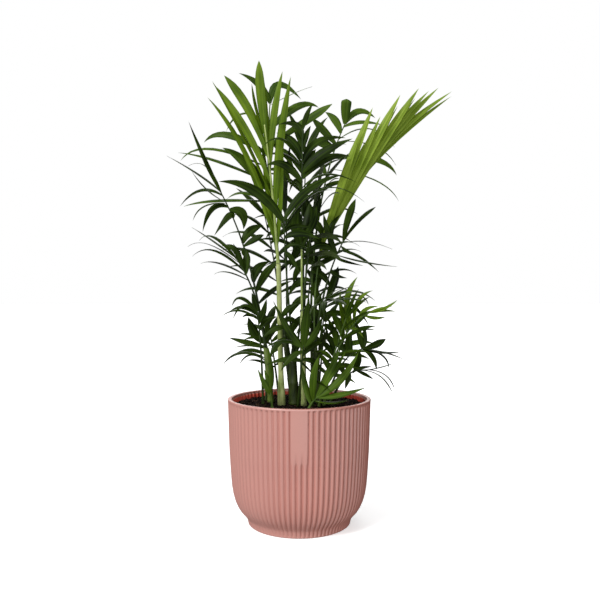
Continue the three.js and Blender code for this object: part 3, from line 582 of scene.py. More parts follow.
@dataclass
class Gathering:
    """Many small shapes of one kind, joined into one mesh."""

    name: str
    points: list[np.ndarray] = field(default_factory=list)
    faces: Faces = field(default_factory=list)
    uvs: list[np.ndarray] = field(default_factory=list)
    slots: list[int] = field(default_factory=list)
    total: int = 0

    CREASE = 75.0

    def add(self, points: np.ndarray, faces: Faces, uvs: np.ndarray, slots: list[int]) -> None:
        """Adds one shape.

        Args:
            points: its vertices.
            faces: its faces, by its own vertex numbers.
            uvs: a UV for each vertex.
            slots: a material slot for each face.
        """
        self.points.append(points)
        self.faces.extend([[index + self.total for index in face] for face in faces])
        self.uvs.append(uvs)
        self.slots.extend(slots)
        self.total += len(points)

    def piece(self, materials: list[Material]) -> Piece:
        """Makes the joined mesh.

        Args:
            materials: its material slots.

        Returns:
            The object, with its place in its mesh.
        """
        mesh = bpy.data.meshes.new(self.name)
        mesh.from_pydata(np.concatenate(self.points).tolist(), [], self.faces)
        uvs = np.concatenate(self.uvs)
        corners = np.empty(len(mesh.loops), dtype=np.int32)
        mesh.loops.foreach_get("vertex_index", corners)
        layer = mesh.uv_layers.new(name="along")
        layer.data.foreach_set("uv", uvs[corners].astype(np.float32).ravel())
        for material in materials:
            mesh.materials.append(material)
        mesh.polygons.foreach_set("material_index", np.array(self.slots, dtype=np.int32))
        mesh.polygons.foreach_set("use_smooth", np.ones(len(self.faces), dtype=bool))
        mesh.update()
        made = bpy.data.objects.new(self.name, mesh)
        bpy.context.scene.collection.objects.link(made)
        bpy.ops.object.select_all(action="DESELECT")
        made.select_set(True)
        bpy.context.view_layer.objects.active = made
        bpy.ops.object.shade_smooth_by_angle(angle=math.radians(self.CREASE))
        return made


def settle(piece: Piece, slot: str, *nodes: str) -> Piece:
    """Rides a piece on the part's one body.

    Args:
        piece: the new piece.
        slot: not used.
        nodes: the nodes that it stands for.

    Returns:
        The same piece.
    """
    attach(piece, "root")
    if nodes:
        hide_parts(*nodes)
    return piece


def tube_faces(rings: int, sides: int) -> Faces:
    """Lists the faces of a closed tube of rings with one point at its far end.

    Args:
        rings: how many rings.
        sides: vertices in each.

    Returns:
        The faces, with the end point as the last vertex.
    """
    faces = []
    for ring in range(rings - 1):
        for side in range(sides):
            a, b = ring * sides + side, ring * sides + (side + 1) % sides
            faces.append([a, b, b + sides, a + sides])
    last = (rings - 1) * sides
    faces.extend([last + side, last + (side + 1) % sides, rings * sides] for side in range(sides))
    faces.append(list(range(sides - 1, -1, -1)))
    return faces


def on_axis(height: float) -> Vector:
    """Gives the point on the pot's axis at a height in millimetres, in metres."""
    return Vector((0.0, 0.0, height * MM))


# ---------------------------------------------------------------- pot


@dataclass
class Pot:
    """The fluted pot: foot ring, bowl, straight wall, soft lip and corrugated inside. Millimetres."""

    # Depth of a groove at its middle and at the columns beside it.
    groove_depths: tuple[float, ...] = (1.9, 1.05, 0.5, 0.18)
    inner_depth_share: float = 0.8
    inner_flutes_from: float = 90.0
    foot_depth_share: float = 0.6
    foot_height: float = 12.0
    flute_reference: float = 66.0
    band_half_angle: float = 6.55
    band_end: float = 72.0
    fluted_span: Pair = (0.8, 118.9)
    floor_height: float = 5.0
    wall_middle: float = 2.6
    underside: Profile = (
        (33.4, 0.0), (34.0, 0.4), (34.5, 2.0), (39.5, 2.0), (40.0, 0.4), (40.6, 0.0), (49.3, 0.0),
        (49.9, 0.4))
    outside: Profile = (
        (50.1, 1.2), (50.6, 3.2), (51.3, 5.4), (52.0, 7.0), (53.2, 8.5), (55.2, 10.9), (57.8, 13.7),
        (60.3, 17.7), (62.7, 23.2), (64.6, 30.0), (65.9, 38.0), (66.8, 48.0), (67.5, 58.0), (68.1, 68.0),
        (68.3, 70.5), (68.4, 73.5), (68.8, 84.0), (69.2, 98.0), (69.6, 110.0), (69.8, 117.0), (69.9, 118.4))
    lip: Profile = (
        (69.95, 119.2), (70.0, 120.0), (69.8, 120.6), (69.3, 120.95), (68.6, 121.0), (67.2, 121.0),
        (66.5, 120.85), (66.1, 120.3), (66.0, 119.5))
    inside: Profile = (
        (65.95, 118.2), (65.9, 116.5), (65.7, 112.0), (65.2, 104.0), (63.6, 64.0), (62.0, 44.0),
        (59.0, 26.0), (53.5, 14.5), (44.0, 6.0), (2.0, 6.0))

    def build(self) -> Piece:
        """Extrudes the wall ring by ring, then presses the grooves between the flutes.

        Returns:
            The pot.
        """
        modeller = Modeller("fluted_pot", FLUTES * COLUMNS_PER_FLUTE, SEED_RADIUS * MM, on_axis(0.0))
        for radius, height in (*self.underside, *self.outside, *self.lip, *self.inside):
            modeller.step(on_axis(height), radius * MM)
        places = modeller.vertices()
        radius = np.hypot(places[:, 0], places[:, 1]) / MM
        height = places[:, 2] / MM
        turn = np.degrees(np.arctan2(places[:, 0], -places[:, 1]))
        from_groove = np.abs((turn / (360.0 / FLUTES) + 0.5) % 1.0)
        column = np.rint(np.minimum(from_groove, 1.0 - from_groove) * COLUMNS_PER_FLUTE).astype(int)
        low, high = self.fluted_span
        is_outer = self.is_outer(radius, height)
        is_foot = height <= self.foot_height
        band = (np.abs(turn) < self.band_half_angle) & (height > self.band_end)
        outer = is_outer & (height > low) & (height < high) & ~band
        inner = ~is_outer & (height > self.inner_flutes_from) & (height < high)
        walls = (
            (outer & ~is_foot, 1.0),
            (outer & is_foot, self.foot_depth_share),
            (inner, self.inner_depth_share),
        )
        for index, depth in enumerate(self.groove_depths):
            for wall, share in walls:
                modeller.push(wall & (column == index), 1.0 - depth * share / self.flute_reference)
        return modeller.close()

    def is_outer(self, radius: np.ndarray, height: np.ndarray) -> np.ndarray:
        """Tells the outer wall's places from the inner wall's, by their radii and heights."""
        radii, heights = zip(*self.outside)
        return radius > np.interp(height, heights, radii) - self.wall_middle

    def dress(self, wardrobe: Wardrobe) -> Piece:
        """Builds the pot and gives it its finish.

        Args:
            wardrobe: where materials come from.

        Returns:
            The finished pot.
        """
        pot = self.build()
        pot.data.materials.append(wardrobe.of(POT_OUTSIDE))
        pot.data.materials.append(wardrobe.of(POT_INSIDE_PAINTED_SHADE))
        middles = np.array([face.center for face in pot.data.polygons]) / MM
        radius, height = np.hypot(middles[:, 0], middles[:, 1]), middles[:, 2]
        below_lip = (height > self.floor_height) & (height < self.inside[0][1])
        is_inside = ~self.is_outer(radius, height) & below_lip
        # Faces of the hollow take the deeper red of painted shade.
        pot.data.polygons.foreach_set("material_index", is_inside.astype(np.int32))
        return settle(pot, "pot", "pot")


# ---------------------------------------------------------------- potting mix


@dataclass
class PottingMix:
    """The filling: an uneven top in the pot's hollow, strewn with crumbs and fibres. Millimetres."""

    columns: int = 180
    edge_radius: float = 64.9
    floor_height: float = 6.6
    side: Profile = (
        (43.0, 6.6), (52.9, 15.0), (58.3, 26.0), (61.3, 44.0), (62.9, 64.0), (64.4, 104.0), (64.9, 112.6))
    # The top: how far its middle lies under the level, and its edge under its middle.
    sink: float = 0.9
    edge_fall: float = 1.3
    ring_inset: float = 0.7
    ring_pitch: float = 1.7
    rough_from: float = 112.9
    rough_scale: float = 190.0
    rough_height: float = 0.9
    rough_fall: float = 0.7
    rough_spacing: float = 2.1
    rough_octaves: int = 4
    strewn_reach: float = 63.6
    strewn_lift: float = 0.5
    cane_swell: float = 1.25
    cane_clearance: float = 0.8
    crumb_total: int = 3600
    crumb_span: Pair = (0.55, 1.9)
    crumb_stretch: Pair = (0.65, 1.25)
    crumb_chipping: Pair = (0.85, 1.2)
    crumb_tip: float = 0.8
    fibre_total: int = 150
    fibre_reach: float = 58.0
    fibre_length: Pair = (1.4, 3.6)
    fibre_width: Pair = (0.18, 0.4)
    fibre_thickness: float = 0.16
    fibre_tip: float = 0.3
    fibre_lift: float = 0.9
    seed: int = 17

    def body(self) -> Piece:
        """Extrudes the filling and roughens its top.

        Returns:
            The body of the filling.
        """
        floor = on_axis(self.floor_height)
        modeller = Modeller("potting_mix_body", self.columns, SEED_RADIUS * MM, floor)
        for radius, height in self.side:
            modeller.step(on_axis(height), radius * MM)
        for radius in np.arange(self.edge_radius - self.ring_inset, 1.0, -self.ring_pitch):
            modeller.step(on_axis(self.level(radius)), float(radius) * MM)
        mesh = bmesh.from_edit_mesh(modeller.object.data)
        for vertex in mesh.verts:
            if vertex.co.z > self.rough_from * MM:
                roughness = noise.fractal(
                    vertex.co * self.rough_scale, self.rough_fall, self.rough_spacing, self.rough_octaves)
                vertex.co.z += roughness * self.rough_height * MM
        bmesh.update_edit_mesh(modeller.object.data)
        return modeller.close()

    def level(self, radius: float) -> float:
        """Height of the top at a distance from the axis."""
        return SOIL_LEVEL - self.sink - self.edge_fall * (radius / self.edge_radius) ** 3

    def crumbs(self, random: np.random.Generator, stems: list["Cane"]) -> Gathering:
        """Strews crumbs on the top, clear of the canes.

        Args:
            random: the seeded source.
            stems: the canes to keep clear of.

        Returns:
            The crumbs.
        """
        crumbs = Gathering("potting_mix_crumbs")
        corners, faces = icosahedron()
        while len(crumbs.points) < self.crumb_total:
            spot = self.spot(random, stems)
            if spot is None:
                continue
            shape = corners * random.uniform(*self.crumb_span)
            shape = shape * random.uniform(*self.crumb_stretch, 3)
            shape = shape * random.uniform(*self.crumb_chipping, (len(corners), 1))
            spin, tip = random.uniform(0, 2 * math.pi), random.uniform(-self.crumb_tip, self.crumb_tip)
            turned = shape @ rotation(spin, tip)
            tone = int(random.integers(0, len(MIX_CRUMBS)))
            crumbs.add((turned + spot) * MM, faces, corners[:, :2], [tone] * len(faces))
        return crumbs

    def fibres(self, random: np.random.Generator, stems: list["Cane"]) -> Gathering:
        """Strews bark fibres on the top, clear of the canes.

        Args:
            random: the seeded source.
            stems: the canes to keep clear of.

        Returns:
            The fibres.
        """
        fibres = Gathering("potting_mix_fibres")
        box = np.array([(x, y, z) for x in (-1, 1) for y in (-1, 1) for z in (-1, 1)], dtype=float)
        faces = [[0, 1, 3, 2], [4, 6, 7, 5], [0, 4, 5, 1], [2, 3, 7, 6], [0, 2, 6, 4], [1, 5, 7, 3]]
        while len(fibres.points) < self.fibre_total:
            spot = self.spot(random, stems)
            if spot is None or np.hypot(spot[0], spot[1]) > self.fibre_reach:
                continue
            length, width = random.uniform(*self.fibre_length), random.uniform(*self.fibre_width)
            shape = box * (length, width, self.fibre_thickness)
            spin, tip = random.uniform(0, 2 * math.pi), random.uniform(-self.fibre_tip, self.fibre_tip)
            turned = shape @ rotation(spin, tip)
            lifted = spot + (0.0, 0.0, self.fibre_lift)
            fibres.add((turned + lifted) * MM, faces, box[:, :2], [0] * len(faces))
        return fibres

    def spot(self, random: np.random.Generator, stems: list["Cane"]) -> np.ndarray | None:
        """Picks a place on the top.

        Args:
            random: the seeded source.
            stems: the canes to keep clear of.

        Returns:
            A point, or None where a cane stands.
        """
        radius = self.strewn_reach * math.sqrt(random.random())
        angle = random.uniform(0, 2 * math.pi)
        x, y = radius * math.cos(angle), radius * math.sin(angle)
        for stem in stems:
            clear_of = stem.radius[0] * self.cane_swell + self.cane_clearance
            if math.hypot(x - stem.foot[0], y - stem.foot[1]) < clear_of:
                return None
        return np.array((x, y, self.level(radius) + random.uniform(0.0, self.strewn_lift)))

    def dress(self, wardrobe: Wardrobe, stems: list["Cane"]) -> list[Piece]:
        """Builds the filling's pieces and gives them their finishes.

        Args:
            wardrobe: where materials come from.
            stems: the canes that stand in it.

        Returns:
            The body, the crumbs and the fibres.
        """
        body = self.body()
        body.data.materials.append(wardrobe.of(MIX_BODY))
        random = np.random.default_rng(self.seed)
        crumbs, fibres = self.crumbs(random, stems), self.fibres(random, stems)
        strewn = crumbs.piece([wardrobe.of(finish) for finish in MIX_CRUMBS])
        bark = fibres.piece([wardrobe.of(MIX_FIBRES)])
        loose = [settle(piece, "potting_mix") for piece in (strewn, bark)]
        return [settle(body, "potting_mix", "soil"), *loose]


def icosahedron() -> tuple[np.ndarray, Faces]:
    """Lays out a regular icosahedron of unit size.

    Returns:
        Its corners and its outward faces.
    """
    golden = (1 + math.sqrt(5)) / 2
    corners = []
    for a in (-1.0, 1.0):
        for b in (-golden, golden):
            corners += [(0.0, a, b), (a, b, 0.0), (b, 0.0, a)]
    corners = np.array(corners) / math.hypot(1.0, golden)
    slack = 1.1
    edge = min(np.linalg.norm(corners[0] - corner) for corner in corners[1:])
    near = [[np.linalg.norm(p - q) < edge * slack for q in corners] for p in corners]
    faces = []
    for i, j, k in combinations(range(len(corners)), 3):
        if near[i][j] and near[j][k] and near[i][k]:
            normal = np.cross(corners[j] - corners[i], corners[k] - corners[i])
            faces.append([i, j, k] if normal @ corners[i] > 0 else [i, k, j])
    return corners, faces


def rotation(spin: float, tip: float) -> np.ndarray:
    """Gives the matrix that tips a shape and then spins it about the upright axis.

    Args:
        spin: the spin in radians.
        tip: the tip in radians.

    Returns:
        The matrix, for rows.
    """
    c, s = math.cos(spin), math.sin(spin)
    d, t = math.cos(tip), math.sin(tip)
    return np.array([[1, 0, 0], [0, d, t], [0, -t, d]]) @ np.array([[c, s, 0], [-s, c, 0], [0, 0, 1]])


# ---------------------------------------------------------------- canes


@dataclass
class Cane:
    """One stem: swollen foot, true taper, ring scars or lapped sheaths, flat top. Millimetres."""

    name: str
    foot: Pair
    top: Triple
    radius: Pair
    bark: Bark
    flare: float = 1.16
    flare_share: float = 0.1

    COLUMNS = 20
    JOINT_PITCH = 31.0
    FIRST_JOINT_SHARE = 0.7
    FOOT_RING_SHARE = 0.4
    LAST_JOINT_GAP = 3.0
    # Rings at a joint: distance from it along the cane, and factor on the radius.
    LAPPED_EDGE = ((-1.6, 1.05), (-0.5, 1.07), (0.2, 0.97))
    RING_SCAR = ((-0.7, 1.0), (-0.2, 1.035), (0.25, 1.035), (0.7, 0.99))

    def build(self) -> Piece:
        """Extrudes the cane along its axis, with a scar or a sheath edge at each joint.

        Returns:
            The cane.
        """
        foot = Vector((*self.foot, GROUND)) * MM
        top = Vector(self.top) * MM
        rings = self.rings((top - foot).length / MM)
        modeller = Modeller(f"cane_{self.name}", self.COLUMNS, rings[0][1] * MM, foot)
        for share, radius in rings[1:]:
            modeller.step(foot.lerp(top, share), radius * MM)
        return modeller.close()

    def rings(self, length: float) -> list[Pair]:
        """Lays out the rings from foot to top.

        Args:
            length: the cane's length.

        Returns:
            Share of the length and radius of each ring.
        """
        bumps = self.LAPPED_EDGE if self.bark is Bark.SHEATH else self.RING_SCAR
        marks = {0.0: 1.0, 1.0: 1.0}
        first_joint = self.JOINT_PITCH * self.FIRST_JOINT_SHARE
        for joint in np.arange(first_joint, length - self.LAST_JOINT_GAP, self.JOINT_PITCH):
            for offset, factor in bumps:
                marks[(joint + offset) / length] = factor
            marks[(joint + self.JOINT_PITCH * 0.5) / length] = 1.0
        for share in (self.flare_share * self.FOOT_RING_SHARE, self.flare_share):
            marks.setdefault(share, 1.0)
        rings = []
        for share in sorted(mark for mark in marks if mark <= 1.0):
            swell = 1 + (self.flare - 1) * max(0.0, 1 - share / self.flare_share)
            plain = self.radius[0] + (self.radius[1] - self.radius[0]) * share
            rings.append((share, plain * swell * marks[share]))
        return rings

    def dress(self, wardrobe: Wardrobe) -> Piece:
        """Builds the cane and gives it its bark.

        Args:
            wardrobe: where materials come from.

        Returns:
            The finished cane.
        """
        cane = self.build()
        cane.data.materials.append(wardrobe.of(BARK_SKIN[self.bark]))
        return settle(cane, SLOT_OF_BARK[self.bark], f"stem_{self.name}")


CANES = [
    Cane("pale_cane", (-17, -14), (-20, -14, 252), (2.7, 2.3), Bark.CANE, flare=1.5, flare_share=0.22),
    Cane("sheathed_cane", (-5.2, -8), (-6.1, -10, 157), (5.4, 3.6), Bark.SHEATH),
    Cane("left_cane", (-28, 4), (-32.8, 0, 170), (3.2, 2.6), Bark.STALK),
    Cane("centre_cane", (4.5, -18), (3.1, -18, 200), (2.7, 2.3), Bark.CANE),
    Cane("right_cane", (14.7, 8), (13.7, 12, 192), (3.4, 2.8), Bark.SHEATH),
    Cane("near_right_cane", (19.2, -8), (15.3, -6, 173), (2.9, 2.3), Bark.SHEATH),
    Cane("far_left_cane", (-6.4, 25), (-14.7, 28, 181), (3.6, 2.8), Bark.SHEATH),
    Cane("far_right_cane", (3.8, 27), (3.8, 30, 181), (3.6, 2.8), Bark.SHEATH),
]


# ---------------------------------------------------------------- fronds


class SeededRandom:
    """The same seeded numbers from -1 to 1 that place the leaflets of the part."""

    SEED_FACTOR = 7919
    SEED_SHIFT = 13
    FACTOR = 1664525
    SHIFT = 1013904223
    RANGE = 2 ** 32

    def __init__(self, seed: int) -> None:
        """Starts the sequence of a frond from its seed."""
        self.state = (seed * self.SEED_FACTOR + self.SEED_SHIFT) % self.RANGE

    def draw(self) -> float:
        """Gives the next number."""
        self.state = (self.state * self.FACTOR + self.SHIFT) % self.RANGE
        return self.state / self.RANGE * 2 - 1


def square_to(vector: Vector, axis: Vector) -> Vector:
    """The part of a vector that is square to a unit axis, at unit length."""
    return (vector - axis * vector.dot(axis)).normalized()


def unit(rows: np.ndarray) -> np.ndarray:
    """Brings each row to unit length."""
    return rows / np.linalg.norm(rows, axis=-1, keepdims=True)


@dataclass
class Midrib:
    """A leaflet's midrib at its stations: points, unit directions and directions across, one row each."""

    points: np.ndarray
    ahead: np.ndarray
    across: np.ndarray
    end: np.ndarray
    length: float


@dataclass(kw_only=True)
class Leaflet:
    """A leaflet with its root, the way that its upper side looks, and its sizes in millimetres."""

    root: Vector
    upper: Vector
    width: float
    widest: float
    point: float
    root_width: float
    fold: float
    sweep: float = 0.0

    STATIONS = np.array([0.0, 0.03, 0.07, 0.12, 0.19, 0.28, 0.38, 0.48, 0.58, 0.68, 0.77, 0.85, 0.92, 0.97])
    ACROSS = (0.0, 0.25, 0.5, 0.75, 1.0, 0.75, 0.5, 0.25)
    UV_LENGTH = 10.0
    THICKNESS = 0.4
    THINNEST_SHARE = 0.4
    # Shares of the rise or the thickness, at the hem, halfway to it and on the ridge.
    HEM_DROP = 0.12
    QUARTER_RISE = 0.62
    RIDGE_RISE = 0.86
    QUARTER_UNDER = 0.7
    RIDGE_UNDER = 1.5

    def midrib(self, turn: float) -> Midrib:
        """Lays out the midrib, turned by some degrees. Each kind of leaflet has its own way."""
        raise NotImplementedError

    def outline(self, share: np.ndarray) -> np.ndarray:
        """Shapes the blade: narrow foot, broad middle, drawn-out tip.

        Args:
            share: places along the leaflet, 0 to 1.

        Returns:
            The half width at each as a share of the full one.
        """
        opening = 1 - (1 - np.minimum(share / self.widest, 1.0)) ** 2
        rising = self.root_width + (1 - self.root_width) * opening
        falling = 1 - (np.maximum(share - self.widest, 0) / (1 - self.widest)) ** self.point
        return np.where(share < self.widest, rising, falling)

    def shape(self, turn: float) -> tuple[np.ndarray, np.ndarray]:
        """Lays the leaflet out as rings of eight points and a tip.

        Args:
            turn: degrees that it is turned by.

        Returns:
            The points in metres, and a UV for each.
        """
        midrib = self.midrib(turn)
        share = self.STATIONS
        ahead = midrib.ahead
        wide = unit(midrib.across - ahead * np.sum(ahead * midrib.across, axis=1, keepdims=True))
        over = np.cross(ahead, wide)
        over *= np.where(over @ np.array(self.upper) < 0, -1.0, 1.0)[:, None]
        half = (self.width / 2 * self.outline(share))[:, None]
        centre = midrib.points + wide * (self.sweep * midrib.length * share ** 2)[:, None]
        rise = half * self.fold
        fullness = np.minimum(half / (self.width / 2), 1.0)
        thick = self.THICKNESS * (self.THINNEST_SHARE + (1 - self.THINNEST_SHARE) * fullness)
        hem = over * thick * self.HEM_DROP
        quarter = over * rise * self.QUARTER_RISE
        under = over * (rise * self.QUARTER_RISE - thick * self.QUARTER_UNDER)
        ring = [
            centre + wide * half - hem,
            centre + wide * half * 0.5 + quarter,
            centre + over * rise * self.RIDGE_RISE,
            centre - wide * half * 0.5 + quarter,
            centre - wide * half - hem,
            centre - wide * half * 0.5 + under,
            centre + over * (rise - thick * self.RIDGE_UNDER),
            centre + wide * half * 0.5 + under,
        ]
        points = np.stack(ring, axis=1).reshape(-1, 3)
        tip = midrib.end + wide[-1] * self.sweep * midrib.length
        along = np.repeat(share, len(ring)) * midrib.length / self.UV_LENGTH
        uvs = np.stack([np.tile(self.ACROSS, len(share)), along], axis=1)
        return np.vstack([points, tip]) * MM, np.vstack([uvs, (0.5, midrib.length / self.UV_LENGTH)])

    @classmethod
    def faces(cls) -> tuple[Faces, list[int]]:
        """Lists the faces that every leaflet has.

        Returns:
            The faces, and for each the slot of the upper skin, 0, or the underside, 1.
        """
        sides = len(cls.ACROSS)
        faces = tube_faces(len(cls.STATIONS), sides)
        slots = [0 if face[0] % sides < sides // 2 else 1 for face in faces[:-1]]
        return faces, [*slots, 0]


@dataclass(kw_only=True)
class DrawnLeaflet(Leaflet):
    """A leaflet drawn by the middle and the tip of its midrib, and rolled by some radians."""

    middle: Vector
    tip: Vector
    roll: float

    def midrib(self, turn: float) -> Midrib:
        """Bends the midrib through its middle, the tip swung back or forth.

        Args:
            turn: degrees of the swing.

        Returns:
            The midrib.
        """
        root = np.array(self.root)
        swing = np.array((0.0, math.sin(math.radians(turn)) * (self.tip - self.root).length, 0.0))
        tip = np.array(self.tip) + swing
        bend = (np.array(self.middle) + swing / 2) * 2 - (root + tip) / 2
        share = self.STATIONS[:, None]
        points = root * (1 - share) ** 2 + bend * 2 * share * (1 - share) + tip * share ** 2
        ahead = unit((bend - root) * (1 - share) + (tip - bend) * share)
        level = unit(np.cross(ahead, np.array(self.upper)))
        lean = -1.0 if level[len(level) // 2, 2] > 0 else 1.0
        across = level * math.cos(self.roll) + np.cross(level, ahead) * (lean * math.sin(self.roll))
        length = float(np.linalg.norm(np.diff(points, axis=0), axis=1).sum())
        return Midrib(points, ahead, across, tip, length)


@dataclass(kw_only=True)
class GrownLeaflet(Leaflet):
    """A leaflet grown by rule: the way that it opens from its frond's midrib, and how it droops."""

    along: Vector
    outward: Vector
    opening: float
    lift: float
    length: float
    droop: float

    STEPS = 20
    SAG_POWER = 1.6
    # How far the blade turns from the frond's plane to lie level.
    TWIST = 0.4

    def midrib(self, turn: float) -> Midrib:
        """Follows the droop step by step.

        Args:
            turn: degrees that the leaflet opens wider by.

        Returns:
            The midrib.
        """
        opening = math.radians(self.opening + turn)
        start = (self.along * math.cos(opening) + self.outward * (math.sin(opening) * math.cos(self.lift))
                 + self.upper * (math.sin(opening) * math.sin(self.lift)))
        in_plane = square_to(self.along, start)
        level = start.cross(UP).normalized()
        if level.dot(in_plane) < 0:
            level.negate()
        across = np.array((in_plane * (1 - self.TWIST) + level * self.TWIST).normalized())
        steps = np.arange(self.STEPS + 1) / self.STEPS
        moves = self.headings(start, steps[:-1]) * self.length / self.STEPS
        path = np.array(self.root) + np.vstack([np.zeros(3), np.cumsum(moves, axis=0)])
        points = np.stack([np.interp(self.STATIONS, steps, path[:, axis]) for axis in range(3)], axis=1)
        ahead = self.headings(start, self.STATIONS)
        return Midrib(points, ahead, np.tile(across, (len(points), 1)), path[-1], self.length)

    def headings(self, start: Vector, share: np.ndarray) -> np.ndarray:
        """Gives the midrib's unit directions at shares of its length, as it sinks more and more."""
        return unit(np.array(start) - np.array(UP) * (self.droop * share ** self.SAG_POWER)[:, None])


@dataclass(kw_only=True)
class Frond:
    """A frond: a stalk and midrib that bends from its foot by way of a knee to its tip, with leaflets.

    Sizes are in millimetres and angles in degrees. The foot is on a cane's flat top, at an azimuth
    round it, or on the potting mix. The face is the azimuth and elevation that its upper side looks to.
    """

    name: str
    knee: Triple
    tip: Triple
    face: Pair
    cane: str = ""
    azimuth: float = 0.0
    ground: Pair | None = None
    tone: Tone = Tone.DARK
    # The tone of the stalk's lower share, where it isn't the leaflets' own.
    rod: Tone | None = None
    rod_share: float = 1.0
    girth: float = 1.0
    fold: float = 0.26
    widest: float = 0.42
    point: float = 1.7
    root_width: float = 0.3

    STALK_FOOT = 1.25
    STALK_TIP = 0.55
    STALK_RINGS = 30
    STALK_SIDES = 8
    SWELL = 0.25
    SWELL_SHARE = 0.05
    CHANNEL = 0.72
    UV_TURN = 6.3
    UV_LENGTH = 10.0
    FOOT_OVERHANG = 0.4
    FOOT_LIFT = 0.3
    TURNS = (0, 6, -6, 12, -12, 18, -18, 26, -26)

    def foot(self) -> Vector:
        """Finds where the stalk starts.

        Returns:
            The point.
        """
        if self.ground:
            return Vector((*self.ground, GROUND))
        cane = next(cane for cane in CANES if cane.name == self.cane)
        reach = cane.radius[1] - self.STALK_FOOT + self.FOOT_OVERHANG
        angle = math.radians(self.azimuth)
        return Vector(cane.top) + Vector((reach * math.cos(angle), reach * math.sin(angle), self.FOOT_LIFT))

    def at(self, share: float) -> tuple[Vector, Vector]:
        """Follows the midrib.

        Args:
            share: a share of its run.

        Returns:
            Point and unit direction there.
        """
        foot, knee, tip = self.foot(), Vector(self.knee), Vector(self.tip)
        point = foot * (1 - share) ** 2 + knee * (2 * share * (1 - share)) + tip * share ** 2
        return point, ((knee - foot) * (1 - share) + (tip - knee) * share).normalized()

    def facing(self) -> Vector:
        """Turns the face into a direction.

        Returns:
            The unit direction that the upper side looks to.
        """
        azimuth, elevation = (math.radians(angle) for angle in self.face)
        level = math.cos(elevation)
        return Vector((math.cos(azimuth) * level, math.sin(azimuth) * level, math.sin(elevation)))

    def blade_shape(self) -> dict[str, float]:
        """Gives the outline that the leaflets share."""
        return {"widest": self.widest, "point": self.point, "root_width": self.root_width}

    def leaflets(self) -> list[Leaflet]:
        """Gives every leaflet; each kind of frond has its own way."""
        raise NotImplementedError

    def stalk(self) -> tuple[np.ndarray, Faces, np.ndarray]:
        """Shapes stalk and midrib as one tapering rod with a swollen foot and a channel on its upper side.

        Returns:
            Points in metres, faces and UVs.
        """
        points, uvs = [], []
        for ring in range(self.STALK_RINGS):
            share = ring / (self.STALK_RINGS - 1)
            centre, along = self.at(share)
            along = UP if ring == 0 else along
            upper = np.array(square_to(self.facing(), along))
            across = np.cross(np.array(along), upper)
            size = (self.STALK_FOOT + (self.STALK_TIP - self.STALK_FOOT) * share) * self.girth
            size *= 1 + self.SWELL * max(0.0, 1 - share / self.SWELL_SHARE)
            for angle in np.arange(self.STALK_SIDES) / self.STALK_SIDES * 2 * math.pi:
                reach = size * (self.CHANNEL if angle == 0 else 1.0)
                outward = upper * math.cos(angle) + across * math.sin(angle)
                points.append(np.array(centre) + reach * outward)
                uvs.append((angle / self.UV_TURN, share * self.UV_LENGTH))
        end, along = self.at(1.0)
        points.append(np.array(end) + np.array(along) * self.STALK_TIP)
        uvs.append((0.5, self.UV_LENGTH))
        return np.array(points) * MM, tube_faces(self.STALK_RINGS, self.STALK_SIDES), np.array(uvs)

    def dress(self, wardrobe: Wardrobe, thicket: "Thicket") -> list[Piece]:
        """Builds stalk and leaflets, each leaflet turned until it comes clear of what stands.

        Args:
            wardrobe: where materials come from.
            thicket: what stands already.

        Returns:
            The leaflets' piece and the stalk's piece.
        """
        blades = Gathering(f"leaflets_{self.name}")
        faces, slots = Leaflet.faces()
        for leaflet in self.leaflets():
            for turn in self.TURNS:
                points, uvs = leaflet.shape(turn)
                if thicket.is_clear(points, faces, self.name):
                    blades.add(points, faces, uvs, slots)
                    break
        thicket.stand(np.concatenate(blades.points), blades.faces, self.name)
        rod = Gathering(f"stalk_{self.name}")
        points, faces, uvs = self.stalk()
        own = self.rod_share * self.STALK_RINGS * self.STALK_SIDES
        rod.add(points, faces, uvs, [0 if min(face) < own else 1 for face in faces])
        leaves = blades.piece([wardrobe.of(UPPER_SKIN[self.tone]), wardrobe.of(UNDER_SKIN[self.tone])])
        rod_finishes = STALK_SKIN[self.rod or self.tone], STALK_SKIN[self.tone]
        stalk = rod.piece([wardrobe.of(finish) for finish in rod_finishes])
        return [settle(piece, SLOT_OF_TONE[self.tone], f"frond_{self.name}") for piece in (leaves, stalk)]


@dataclass(kw_only=True)
class DrawnFrond(Frond):
    """A frond whose leaflets are drawn one by one.

    Each row has the root's place on the midrib, the leaflet's middle and tip, its width, its roll in
    degrees and, for some, where along it it is widest.
    """

    drawn: tuple[tuple[float, ...], ...]

    FOLD_SPREAD = 0.4

    def leaflets(self) -> list[Leaflet]:
        """Takes every leaflet from its row.

        Returns:
            The leaflets, in the order of the rows.
        """
        detail = SeededRandom(sum(map(ord, self.name)))
        leaflets = []
        for place, *values in self.drawn:
            width, roll, *own_widest = values[6:]
            shape = self.blade_shape()
            if own_widest:
                shape["widest"] = own_widest[0]
            leaflets.append(DrawnLeaflet(
                root=self.at(place)[0], upper=self.facing(), middle=Vector(values[:3]),
                tip=Vector(values[3:6]), width=width, roll=math.radians(roll),
                fold=self.fold * (1 + self.FOLD_SPREAD * detail.draw()), **shape))
        return leaflets


